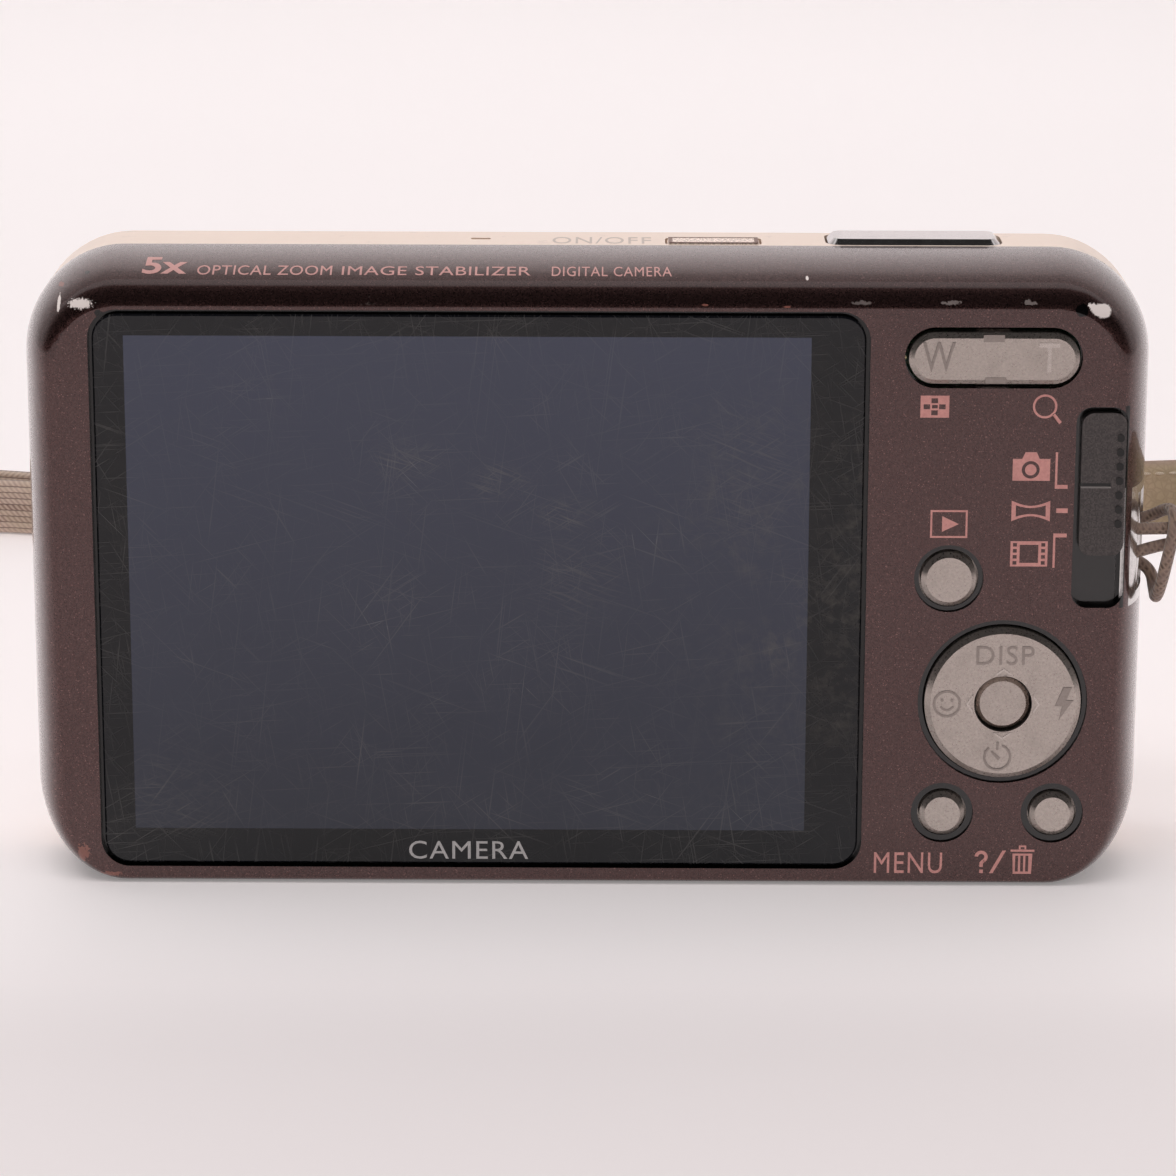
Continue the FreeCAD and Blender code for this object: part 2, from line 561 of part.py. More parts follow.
save("battery_box", bb.cut(box(18.6, 25.4, 0.5, 1.6, 1.5, 2.6)))
save("battery_lever", lever)

# ---------------------------------------------------------------- wrist strap
# Route points. The thin cord is one length, doubled: from the tab in to the lug bar,
# round it, out in front of itself as a bight, round the bar again and back to the tab.
CORD = [
    (59.0, -5.9, 29.75), (53.5, -6.3, 30.05), (49.0, -6.3, 29.65), (46.6, -6.45, 29.65),
    (43.5, -6.35, 29.55), (43.5, -3.65, 29.55), (45.9, -3.65, 29.85), (47.4, -4.6, 30.95),
    (47.7, -6.6, 31.05), (47.6, -7.9, 29.95), (47.1, -8.2, 27.75), (46.7, -8.1, 25.65),
    (46.4, -7.0, 23.85), (46.5, -5.0, 24.05), (46.3, -3.65, 25.75), (43.5, -3.65, 26.95),
    (43.5, -6.35, 27.25), (46.6, -6.45, 28.25), (49.0, -6.3, 28.6), (53.5, -6.3, 28.85),
    (59.0, -5.9, 28.55),
]
TAB = [
    (59.0, -5.9, 29.15), (66.0, -5.7, 29.05), (71.0, 0.5, 28.85), (68.5, 8.3, 28.55),
    (60.0, 12.2, 28.25), (49.0, 13.2, 27.65), (37.0, 16.5, 26.35),
]
BAND = [
    (36.9, 17.25, 27.0), (26.9, 23.5, 24.6), (15.1, 32.8, 20.6), (3.3, 45.6, 15.8),
    (-8.7, 60.6, 11.0), (-20.7, 76.1, 7.0), (-32.8, 90.7, 4.5), (-45.0, 103.4, 3.4),
    (-57.4, 111.6, 3.1), (-68.8, 114.7, 3.1), (-78.0, 117.0, 3.1), (-86.0, 112.5, 3.1),
    (-86.5, 104.0, 3.1), (-79.5, 99.5, 3.1), (-73.0, 104.0, 3.1), (-68.9, 110.2, 3.1),
    (-58.6, 108.4, 3.1), (-47.0, 100.6, 3.4), (-35.2, 88.3, 4.5), (-23.3, 73.9, 7.0),
    (-11.3, 58.4, 11.0), (0.7, 43.4, 15.8), (12.9, 30.2, 20.6), (25.1, 20.5, 24.6),
    (36.5, 15.95, 27.0),
]


def route(points, name):
    """Straight runs joined by tangent arcs; returns the edges and the length."""
    p = [V(*q) for q in points]
    edges, start, least, length = [], p[0], 1e9, 0.0
    for i in range(1, len(p) - 1):
        a, b, c = p[i - 1], p[i], p[i + 1]
        u, w = (a - b), (c - b)
        la, lc = u.Length, w.Length
        u, w = u * (1 / la), w * (1 / lc)
        turn = math.pi - math.acos(max(-1, min(1, u.dot(w))))
        run = min(la, lc)
        r = 0.45 * run / math.tan(turn / 2)
        t = 0.45 * run
        q0, q1 = b + u * t, b + w * t
        bis = (u + w)
        bis = bis * (1 / bis.Length)
        centre = b + bis * (r / math.cos(turn / 2))
        mid = centre - bis * r
        edges.append(Part.LineSegment(start, q0).toShape())
        edges.append(Part.Arc(q0, mid, q1).toShape())
        length += (q0 - start).Length + r * turn
        least = min(least, r)
        start = q1
        if turn > math.pi / 2 + 0.02:
            print(name, "turn", i, round(math.degrees(turn)))
    edges.append(Part.LineSegment(start, p[-1]).toShape())
    length += (p[-1] - start).Length
    print("%s route %.1f mm, least radius %.2f mm" % (name, length, least))
    return edges, length


def tube(points, d, name):
    edges, length = route(points, name)
    w = Part.Wire(edges)
    t = (V(*points[1]) - V(*points[0]))
    prof = Part.Wire([Part.Circle(V(*points[0]), t, d / 2).toShape()])
    s = w.makePipeShell([prof], True, False)
    print("%s volume %.2f, section x length %.2f" % (name, s.Volume, math.pi * d * d / 4 * length))
    return s


def ribbon(points, wide, thick, name):
    """Flat strap on edge: its width stays upright along the route."""
    edges, length = route(points, name)
    w = Part.Wire(edges)
    a, b = V(*points[0]), V(*points[1])
    t = (b - a).normalize()
    side = V(0, 0, 1).cross(t).normalize()
    up = t.cross(side).normalize()
    c = [a + side * (sx * thick / 2) + up * (sz * wide / 2) for sx, sz in ((-1, -1), (1, -1), (1, 1), (-1, 1))]
    prof = Part.makePolygon(c + [c[0]])
    mk = Part.BRepOffsetAPI.MakePipeShell(w)
    mk.setBiNormalMode(V(0, 0, 1))
    mk.add(prof)
    mk.build()
    mk.makeSolid()
    s = mk.shape()
    print("%s volume %.2f, section x length %.2f" % (name, s.Volume, wide * thick * length))
    return s


save("strap_cord", tube(CORD, CORD_D, "strap_cord"))
save("strap_tab", ribbon(TAB, 6.4, 2.8, "strap_tab"))
save("strap_band", ribbon(BAND, BAND_W, BAND_T, "strap_band"))
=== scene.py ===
import bpy, bmesh, json, math, random
from mathutils import Matrix, Vector
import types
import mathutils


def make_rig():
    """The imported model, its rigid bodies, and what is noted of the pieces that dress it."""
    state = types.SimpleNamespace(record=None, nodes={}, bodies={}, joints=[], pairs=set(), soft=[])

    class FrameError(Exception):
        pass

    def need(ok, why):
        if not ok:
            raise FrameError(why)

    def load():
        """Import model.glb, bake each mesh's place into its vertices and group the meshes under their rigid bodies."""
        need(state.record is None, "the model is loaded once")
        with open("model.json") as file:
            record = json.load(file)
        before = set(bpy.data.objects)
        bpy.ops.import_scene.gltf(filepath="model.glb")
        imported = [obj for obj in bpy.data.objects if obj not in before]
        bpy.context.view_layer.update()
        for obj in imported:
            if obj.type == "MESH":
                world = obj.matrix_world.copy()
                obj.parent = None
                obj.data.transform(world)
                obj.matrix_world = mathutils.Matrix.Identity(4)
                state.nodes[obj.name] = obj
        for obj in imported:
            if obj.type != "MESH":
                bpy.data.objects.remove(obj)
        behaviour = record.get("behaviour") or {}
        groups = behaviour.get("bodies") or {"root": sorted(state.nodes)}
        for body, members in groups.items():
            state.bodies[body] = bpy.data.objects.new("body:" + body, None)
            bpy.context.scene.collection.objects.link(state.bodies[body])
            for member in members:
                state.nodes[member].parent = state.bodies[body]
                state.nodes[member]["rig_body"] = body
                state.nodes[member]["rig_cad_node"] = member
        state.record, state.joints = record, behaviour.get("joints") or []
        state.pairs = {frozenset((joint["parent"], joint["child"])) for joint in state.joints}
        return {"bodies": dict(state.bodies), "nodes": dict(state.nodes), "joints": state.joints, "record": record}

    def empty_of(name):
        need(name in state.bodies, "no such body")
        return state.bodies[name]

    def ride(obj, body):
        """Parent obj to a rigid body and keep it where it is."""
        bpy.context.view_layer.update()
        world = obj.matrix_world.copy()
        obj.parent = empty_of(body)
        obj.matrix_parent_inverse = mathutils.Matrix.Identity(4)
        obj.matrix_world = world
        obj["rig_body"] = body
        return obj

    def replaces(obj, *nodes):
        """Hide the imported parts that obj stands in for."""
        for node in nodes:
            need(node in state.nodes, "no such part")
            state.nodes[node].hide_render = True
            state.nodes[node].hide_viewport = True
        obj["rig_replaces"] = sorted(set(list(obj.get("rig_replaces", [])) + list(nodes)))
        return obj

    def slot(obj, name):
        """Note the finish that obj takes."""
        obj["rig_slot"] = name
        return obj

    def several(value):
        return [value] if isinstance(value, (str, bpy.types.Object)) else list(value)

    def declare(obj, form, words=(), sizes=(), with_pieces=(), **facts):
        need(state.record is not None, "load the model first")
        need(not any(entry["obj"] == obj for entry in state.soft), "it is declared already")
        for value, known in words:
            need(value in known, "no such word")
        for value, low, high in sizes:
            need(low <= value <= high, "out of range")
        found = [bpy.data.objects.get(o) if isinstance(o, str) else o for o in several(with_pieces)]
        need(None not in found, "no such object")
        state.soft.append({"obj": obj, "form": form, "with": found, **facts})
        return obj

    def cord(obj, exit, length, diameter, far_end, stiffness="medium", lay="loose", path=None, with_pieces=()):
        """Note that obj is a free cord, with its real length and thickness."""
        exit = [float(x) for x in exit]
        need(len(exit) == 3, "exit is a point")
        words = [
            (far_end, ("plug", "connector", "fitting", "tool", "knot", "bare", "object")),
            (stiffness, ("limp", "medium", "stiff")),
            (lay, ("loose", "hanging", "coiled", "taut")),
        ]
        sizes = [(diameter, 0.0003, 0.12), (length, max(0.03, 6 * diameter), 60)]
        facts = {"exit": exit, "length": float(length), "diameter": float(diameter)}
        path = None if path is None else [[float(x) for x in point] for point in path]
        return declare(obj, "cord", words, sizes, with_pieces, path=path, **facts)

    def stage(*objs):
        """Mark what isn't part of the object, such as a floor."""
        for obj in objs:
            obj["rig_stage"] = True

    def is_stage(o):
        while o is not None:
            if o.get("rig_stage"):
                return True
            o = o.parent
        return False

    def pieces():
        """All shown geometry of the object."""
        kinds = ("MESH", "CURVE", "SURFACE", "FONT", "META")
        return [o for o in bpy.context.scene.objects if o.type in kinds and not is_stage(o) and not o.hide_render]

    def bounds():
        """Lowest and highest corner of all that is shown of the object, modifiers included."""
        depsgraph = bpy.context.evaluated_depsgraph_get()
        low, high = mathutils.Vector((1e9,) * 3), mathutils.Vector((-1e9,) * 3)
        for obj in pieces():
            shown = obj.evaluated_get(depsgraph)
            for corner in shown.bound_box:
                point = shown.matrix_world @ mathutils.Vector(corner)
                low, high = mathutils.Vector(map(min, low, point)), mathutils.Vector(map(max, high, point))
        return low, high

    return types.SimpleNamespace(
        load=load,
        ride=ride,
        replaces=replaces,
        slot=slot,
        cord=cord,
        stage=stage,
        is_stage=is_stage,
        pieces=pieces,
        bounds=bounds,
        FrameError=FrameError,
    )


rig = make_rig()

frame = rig.load()
cad_box = [list(c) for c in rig.bounds()]
nodes = frame["nodes"]
MM = 0.001
random.seed(7)
sc = bpy.context.scene
coll = sc.collection

# ------------------------------------------------------------------ camera
f_px, yaw, pitch, roll = 4184.9, math.radians(-0.403), math.radians(14.706), math.radians(0.122)
fw = Vector((math.sin(yaw) * math.cos(pitch), math.cos(yaw) * math.cos(pitch), -math.sin(pitch)))
rt = Vector((math.cos(yaw), -math.sin(yaw), 0.0))
up = rt.cross(fw)
r2 = math.cos(roll) * rt + math.sin(roll) * up
u2 = -math.sin(roll) * rt + math.cos(roll) * up
cd = bpy.data.cameras.new("camera")
cd.sensor_width = 36.0
cd.lens = f_px / 1176.0 * 36.0
cd.clip_start, cd.clip_end = 0.01, 20.0
cam = bpy.data.objects.new("camera", cd)
coll.objects.link(cam)
m = Matrix((r2, u2, -fw)).transposed().to_4x4()
m.translation = Vector((2.47, -336.8, 111.15)) * MM
cam.matrix_world = m
sc.camera = cam
sc.view_settings.view_transform = "Standard"


# ------------------------------------------------------------------ material kit
class Mat:
    def __init__(self, name):
        self.m = bpy.data.materials.new(name)
        self.m.use_nodes = True
        self.t = self.m.node_tree
        self.t.nodes.clear()
        self.out = self.t.nodes.new("ShaderNodeOutputMaterial")
        self.b = self.t.nodes.new("ShaderNodeBsdfPrincipled")
        self.t.links.new(self.b.outputs[0], self.out.inputs[0])
        self.obj = self.t.nodes.new("ShaderNodeTexCoord").outputs["Object"]

    def put(self, sock, v):
        if isinstance(v, bpy.types.NodeSocket):
            self.t.links.new(v, sock)
        elif isinstance(v, (tuple, list)) and len(v) == 3 and sock.type == "RGBA":
            sock.default_value = (*v, 1.0)
        else:
            sock.default_value = v

    def set(self, **kw):
        for k, v in kw.items():
            self.put(self.b.inputs[k.replace("_", " ")], v)
        return self

    def node(self, kind, ins=None, **props):
        n = self.t.nodes.new(kind)
        for k, v in props.items():
            setattr(n, k, v)
        for k, v in (ins or {}).items():
            self.put(n.inputs[k], v)
        return n

    def math(self, op, a, b=0.0, clamp=False):
        return self.node("ShaderNodeMath", {0: a, 1: b}, operation=op, use_clamp=clamp).outputs[0]

    def vec(self, op, a, b=(0.0, 0.0, 0.0)):
        n = self.node("ShaderNodeVectorMath", operation=op)
        self.put(n.inputs[0], a)
        if op == "SCALE":
            self.put(n.inputs["Scale"], b)
        else:
            self.put(n.inputs[1], b)
        return n.outputs["Value"] if op in ("LENGTH", "DISTANCE", "DOT_PRODUCT") else n.outputs["Vector"]

    def mapping(self, rot=(0, 0, 0), scale=(1, 1, 1), loc=(0, 0, 0), src=None):
        n = self.node("ShaderNodeMapping", {"Vector": src or self.obj})
        n.inputs["Rotation"].default_value = rot
        n.inputs["Scale"].default_value = scale
        n.inputs["Location"].default_value = loc
        return n.outputs[0]

    def noise(self, scale, detail=2.0, rough=0.5, src=None, dist=0.0):
        return self.node("ShaderNodeTexNoise", {"Vector": src or self.obj, "Scale": scale, "Detail": detail,
                                                "Roughness": rough, "Distortion": dist}).outputs["Fac"]

    def vor(self, scale, feature="F1", src=None, out="Distance"):
        return self.node("ShaderNodeTexVoronoi", {"Vector": src or self.obj, "Scale": scale}, feature=feature).outputs[out]

    def flakes(self, size):
        """Random value per small cell of the given size in metres."""
        s = self.node("ShaderNodeVectorMath", operation="SNAP")
        self.put(s.inputs[0], self.obj)
        s.inputs[1].default_value = (size, size, size)
        return self.node("ShaderNodeTexWhiteNoise", {"Vector": s.outputs[0]}, noise_dimensions="3D").outputs["Value"]

    def rng(self, v, a, b, c=0.0, d=1.0, smooth=False):
        n = self.node("ShaderNodeMapRange", {"Value": v, "From Min": a, "From Max": b, "To Min": c, "To Max": d},
                      clamp=True, interpolation_type="SMOOTHSTEP" if smooth else "LINEAR")
        return n.outputs[0]

    def mix(self, fac, a, b, mode="MIX"):
        n = self.node("ShaderNodeMix", data_type="RGBA", blend_type=mode)
        self.put(n.inputs[0], fac)
        self.put(n.inputs[6], a)
        self.put(n.inputs[7], b)
        return n.outputs[2]

    def fmix(self, fac, a, b):
        n = self.node("ShaderNodeMix", data_type="FLOAT")
        self.put(n.inputs[0], fac)
        self.put(n.inputs[2], a)
        self.put(n.inputs[3], b)
        return n.outputs[0]

    def xyz(self, src=None):
        n = self.node("ShaderNodeSeparateXYZ", {0: src or self.obj})
        return n.outputs[0], n.outputs[1], n.outputs[2]

    def bump(self, h, strength, dist, normal=None):
        ins = {"Height": h, "Strength": strength, "Distance": dist}
        if normal is not None:
            ins["Normal"] = normal
        return self.node("ShaderNodeBump", ins).outputs[0]

    def inside(self, v, a, b, soft):
        """1 where a < v < b."""
        lo = self.rng(v, a - soft, a + soft)
        hi = self.rng(v, b - soft, b + soft, 1.0, 0.0)
        return self.math("MULTIPLY", lo, hi)

    def blob(self, c, r, ragged=0.5, scale=2500.0):
        """1 near point c (mm), within ragged radii r (mm)."""
        d = self.vec("SUBTRACT", self.obj, tuple(q * MM for q in c))
        d = self.vec("DIVIDE", d, tuple(q * MM for q in r))
        ln = self.vec("LENGTH", d)
        n = self.noise(scale, 3.0, 0.6)
        ln = self.math("ADD", ln, self.math("MULTIPLY", self.math("SUBTRACT", n, 0.5), ragged * 2.2))
        return self.rng(ln, 0.85, 1.05, 1.0, 0.0)

    def top(self, *facs):
        a = facs[0]
        for b in facs[1:]:
            a = self.math("MAXIMUM", a, b)
        return a


def give(mat, *names):
    for n in names:
        o = nodes[n] if isinstance(n, str) else n
        o.data.materials.clear()
        o.data.materials.append(mat.m if isinstance(mat, Mat) else mat)


# ------------------------------------------------------------------ strap: cord, tab, band
CORD = [(59.0, -5.9, 29.75), (53.5, -6.3, 30.05), (49.0, -6.3, 29.65), (46.6, -6.45, 29.65), (43.5, -6.35, 29.55),
        (43.5, -3.65, 29.55), (45.9, -3.65, 29.85), (47.4, -4.6, 30.95), (47.7, -6.6, 31.05), (47.6, -7.9, 29.95),
        (47.1, -8.2, 27.75), (46.7, -8.1, 25.65), (46.4, -7.0, 23.85), (46.5, -5.0, 24.05), (46.3, -3.65, 25.75),
        (43.5, -3.65, 26.95), (43.5, -6.35, 27.25), (46.6, -6.45, 28.25), (49.0, -6.3, 28.6), (53.5, -6.3, 28.85),
        (59.0, -5.9, 28.55)]
TAB = [(59.0, -5.9, 29.15), (66.0, -5.7, 29.05), (71.0, 0.5, 28.85), (68.5, 8.3, 28.55), (60.0, 12.2, 28.25),
       (49.0, 13.2, 27.65), (37.0, 16.5, 26.35)]
BAND = [(36.9, 17.25, 27.0), (26.9, 23.5, 24.6), (15.1, 32.8, 20.6), (3.3, 45.6, 15.8), (-8.7, 60.6, 11.0),
        (-20.7, 76.1, 7.0), (-32.8, 90.7, 4.5), (-45.0, 103.4, 3.4), (-57.4, 111.6, 3.1), (-68.8, 114.7, 3.1),
        (-78.0, 117.0, 3.1), (-86.0, 112.5, 3.1), (-86.5, 104.0, 3.1), (-79.5, 99.5, 3.1), (-73.0, 104.0, 3.1),
        (-68.9, 110.2, 3.1), (-58.6, 108.4, 3.1), (-47.0, 100.6, 3.4), (-35.2, 88.3, 4.5), (-23.3, 73.9, 7.0),
        (-11.3, 58.4, 11.0), (0.7, 43.4, 15.8), (12.9, 30.2, 20.6), (25.1, 20.5, 24.6), (36.5, 15.95, 27.0)]


def nurbs(name, pts, bevel=0.0, res=16):
    c = bpy.data.curves.new(name, "CURVE")
    c.dimensions = "3D"
    c.resolution_u = res
    s = c.splines.new("NURBS")
    s.points.add(len(pts) - 1)
    for p, q in zip(s.points, pts):
        p.co = (q[0] * MM, q[1] * MM, q[2] * MM, 1.0)
    s.use_endpoint_u = True
    s.order_u = 3
    s.resolution_u = res
    if bevel:
        # point radius carries the tube's size, so that the curve's own box stays tight
        for p in s.points:
            p.radius = bevel
        c.bevel_depth = 1.0
    c.bevel_resolution = 6
    c.use_fill_caps = True
    o = bpy.data.objects.new(name, c)
    coll.objects.link(o)
    return o


def route_of(pts, res=10):
    o = nurbs("route_tmp", pts, 0.0, res)
    bpy.context.view_layer.update()
    me = bpy.data.meshes.new_from_object(o.evaluated_get(bpy.context.evaluated_depsgraph_get()))
    path = [v.co.copy() for v in me.vertices]
    bpy.data.meshes.remove(me)
    bpy.data.objects.remove(o)
    return path


def add_mesh(name, verts, faces, smooth=True):
    me = bpy.data.meshes.new(name)
    me.from_pydata([tuple(v) for v in verts], [], faces)
    me.validate()
    me.update()
    o = bpy.data.objects.new(name, me)
    coll.objects.link(o)
    if smooth:
        for p in me.polygons:
            p.use_smooth = True
    return o


def strip(name, path, section):
    """Sweeps an upright closed section (side, up, across) along a path; keeps along/across attributes."""
    verts, faces, al, ac = [], [], [], []
    n, k, run = len(path), len(section), 0.0
    for i, p in enumerate(path):
        t = (path[min(i + 1, n - 1)] - path[max(i - 1, 0)]).normalized()
        side = Vector((0, 0, 1)).cross(t).normalized()
        upv = t.cross(side).normalized()
        if i:
            run += (p - path[i - 1]).length
        for a, b, v in section:
            verts.append(p + side * a + upv * b)
            al.append(run)
            ac.append(v)
    for i in range(n - 1):
        for j in range(k):
            a, b = i * k + j, i * k + (j + 1) % k
            faces.append((a, b, b + k, a + k))
    faces.append(tuple(range(k - 1, -1, -1)))
    faces.append(tuple((n - 1) * k + j for j in range(k)))
    o = add_mesh(name, verts, faces)
    for nm, vals in (("along", al), ("across", ac)):
        at = o.data.attributes.new(nm, "FLOAT", "POINT")
        for d, v in zip(at.data, vals):
            d.value = v
    bm = bmesh.new()
    bm.from_mesh(o.data)
    bmesh.ops.recalc_face_normals(bm, faces=bm.faces)
    bm.to_mesh(o.data)
    bm.free()
    return o


def band_section(w, t, ribs, depth):
    s = []
    steps = ribs * 4
    for k in range(steps + 1):
        v = -0.5 + k / steps
        edge = math.sqrt(max(0.0, 1 - (2 * abs(v)) ** 8))
        s.append((t / 2 * edge - depth * (1 - abs(math.sin(math.pi * ribs * (v + 0.5)))), w * v, v))
    back = [(-a, b, v) for a, b, v in reversed(s[1:-1])]
    return [(a, b, v) for a, b, v in s] + back


cord_piece = nurbs("wrist_cord", CORD, 0.5 * MM, 20)
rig.replaces(cord_piece, "strap_cord")
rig.ride(cord_piece, "camera_body")
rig.slot(cord_piece, "cord_braid")

band_path = route_of(BAND, 10)
band_piece = strip("wrist_band", band_path, [(a * MM, b * MM, v) for a, b, v in band_section(5.96, 1.26, 9, 0.1)])
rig.replaces(band_piece, "strap_band")
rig.ride(band_piece, "camera_body")
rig.slot(band_piece, "band_weave")

tab_path = route_of(TAB, 12)


def tab_section(w, t):
    s = []
    for k in range(25):
        v = -0.5 + k / 24
        edge = math.sqrt(max(0.0, 1 - (2 * abs(v)) ** 6))
        lip = 0.12 * math.exp(-((abs(v) - 0.36) / 0.02) ** 2)
        s.append(((t / 2) * (0.86 + 0.14 * math.cos(math.pi * v)) * edge - lip, w * v, v))
    back = [(-a, b, v) for a, b, v in reversed(s[1:-1])]
    return s + back


tab_piece = strip("wrist_tab", tab_path, [(a * MM, b * MM, v) for a, b, v in tab_section(6.3, 2.7)])
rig.replaces(tab_piece, "strap_tab")
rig.ride(tab_piece, "camera_body")
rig.slot(tab_piece, "tab_leather")


def stitches(name, path, up_off, side_off, pitch, length, r):
    """Short raised threads along a path."""
    bm = bmesh.new()
    run, nxt = 0.0, 1.2 * MM
    for i in range(1, len(path)):
        seg = (path[i] - path[i - 1]).length
        while nxt < run + seg:
            p = path[i - 1].lerp(path[i], (nxt - run) / seg)
            t = (path[i] - path[i - 1]).normalized()
            side = Vector((0, 0, 1)).cross(t).normalized()
            upv = t.cross(side).normalized()
            for sgn in (1, -1):
                c = p + side * sgn * side_off + upv * up_off
                rot = Matrix((t, upv, -side)).transposed().to_4x4()
                mt = Matrix.Translation(c) @ rot @ Matrix.Diagonal((length / 2, r, r * 0.8, 1.0))
                bmesh.ops.create_uvsphere(bm, u_segments=10, v_segments=6, radius=1.0, matrix=mt)
            nxt += pitch
        run += seg
    me = bpy.data.meshes.new(name)
    bm.to_mesh(me)
    bm.free()
    for p in me.polygons:
        p.use_smooth = True
    o = bpy.data.objects.new(name, me)
    coll.objects.link(o)
    return o


st = [stitches("tab_stitch_upper", tab_path, 2.27 * MM, 1.17 * MM, 1.15 * MM, 0.8 * MM, 0.13 * MM),
      stitches("tab_stitch_lower", tab_path, -2.27 * MM, 1.17 * MM, 1.15 * MM, 0.8 * MM, 0.13 * MM)]
for s in st:
    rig.ride(s, "camera_body")
    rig.slot(s, "tab_leather")

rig.cord(cord_piece, exit=(0.0451, -0.0064, 0.0288), length=0.0558, diameter=0.001, far_end="object",
        stiffness="limp", lay="hanging", with_pieces=[tab_piece, *st])
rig.cord(band_piece, exit=(0.0369, 0.0166, 0.0268), length=0.343, diameter=0.006, far_end="object",
        stiffness="medium", lay="loose", path=[tuple(p) for p in band_path])

# strap materials
M = Mat("cord_braid")
tw = M.node("ShaderNodeTexWave", {"Vector": M.mapping(rot=(0.2, 0.75, 0.5)), "Scale": 900.0, "Distortion": 1.5,
                                  "Detail": 2.0, "Detail Scale": 3.0}, wave_type="BANDS").outputs["Fac"]
tw2 = M.node("ShaderNodeTexWave", {"Vector": M.mapping(rot=(-0.3, -0.75, -0.4)), "Scale": 900.0, "Distortion": 1.5,
                                   "Detail": 2.0, "Detail Scale": 3.0}, wave_type="BANDS").outputs["Fac"]
br = M.math("MAXIMUM", tw, tw2)
col = M.mix(br, (0.095, 0.055, 0.038), (0.36, 0.25, 0.185))
col = M.mix(M.rng(M.noise(900, 3), 0.35, 0.7), col, (0.26, 0.18, 0.15))
M.set(Base_Color=col, Roughness=M.rng(br, 0, 1, 0.85, 0.6), Sheen_Weight=0.4, Normal=M.bump(br, 0.6, 0.0001))
M.m.name = "cord_braid"
give(M, cord_piece)

M = Mat("band_weave")
av = M.node("ShaderNodeAttribute", attribute_name="across").outputs["Fac"]
al = M.node("ShaderNodeAttribute", attribute_name="along").outputs["Fac"]
rib = M.math("MULTIPLY", M.math("ADD", av, 0.5), 9.0)
ridx = M.math("FLOOR", rib)
cmb = M.node("ShaderNodeCombineXYZ", {"X": ridx, "Y": 0.0, "Z": 0.0}).outputs[0]
tone = M.node("ShaderNodeTexWhiteNoise", {"Vector": cmb}, noise_dimensions="3D").outputs["Value"]
pick = M.math("SINE", M.math("ADD", M.math("MULTIPLY", M.math("ADD", M.math("FRACT", rib), M.math("MULTIPLY", ridx, 0.5)), 6.283),
                             M.math("MULTIPLY", al, 9500.0)))
weave = M.rng(pick, -1, 1)
col = M.mix(tone, (0.27, 0.17, 0.14), (0.66, 0.51, 0.43))
col = M.mix(M.math("MULTIPLY", weave, 0.5), col, (0.82, 0.66, 0.54))
col = M.mix(M.rng(M.noise(350, 3), 0.4, 0.75, 0.0, 0.5), col, (0.56, 0.45, 0.32))
groove = M.rng(M.math("ABSOLUTE", M.math("SUBTRACT", M.math("FRACT", rib), 0.5)), 0.36, 0.5)
col = M.mix(M.math("MULTIPLY", groove, 0.75), col, (0.09, 0.055, 0.05))
M.set(Base_Color=col, Roughness=M.rng(weave, 0, 1, 0.9, 0.65), Sheen_Weight=0.3,
      Normal=M.bump(M.math("SUBTRACT", weave, groove), 0.5, 0.00012))
give(M, band_piece)

M = Mat("tab_leather")
gr = M.vor(1800.0, "DISTANCE_TO_EDGE")
grm = M.rng(gr, 0.0, 0.18)
al = M.node("ShaderNodeAttribute", attribute_name="along").outputs["Fac"]
av = M.node("ShaderNodeAttribute", attribute_name="across").outputs["Fac"]
col = M.mix(M.rng(M.noise(160, 3), 0.35, 0.7), (0.52, 0.42, 0.30), (0.36, 0.29, 0.18))
col = M.mix(M.rng(M.math("ABSOLUTE", av), 0.42, 0.5), col, (0.30, 0.2, 0.15))
col = M.mix(M.rng(grm, 0, 1, 0.25, 0.0), col, (0.2, 0.15, 0.1))
M.set(Base_Color=col, Roughness=M.rng(M.noise(700, 3), 0.3, 0.7, 0.42, 0.6), Normal=M.bump(grm, 0.35, 0.00006))
give(M, tab_piece)
M = Mat("stitch_thread")
tw = M.node("ShaderNodeTexWave", {"Vector": M.mapping(rot=(0.5, 0.6, 0.3)), "Scale": 2500.0, "Distortion": 1.0}).outputs["Fac"]
M.set(Base_Color=M.mix(tw, (0.5, 0.42, 0.33), (0.72, 0.64, 0.52)), Roughness=M.rng(tw, 0, 1, 0.8, 0.6),
      Normal=M.bump(tw, 0.4, 0.00004))
give(M, *st)

# ------------------------------------------------------------------ painted rear cover
WIN = (-39.8, 22.65, 1.45, 48.0)


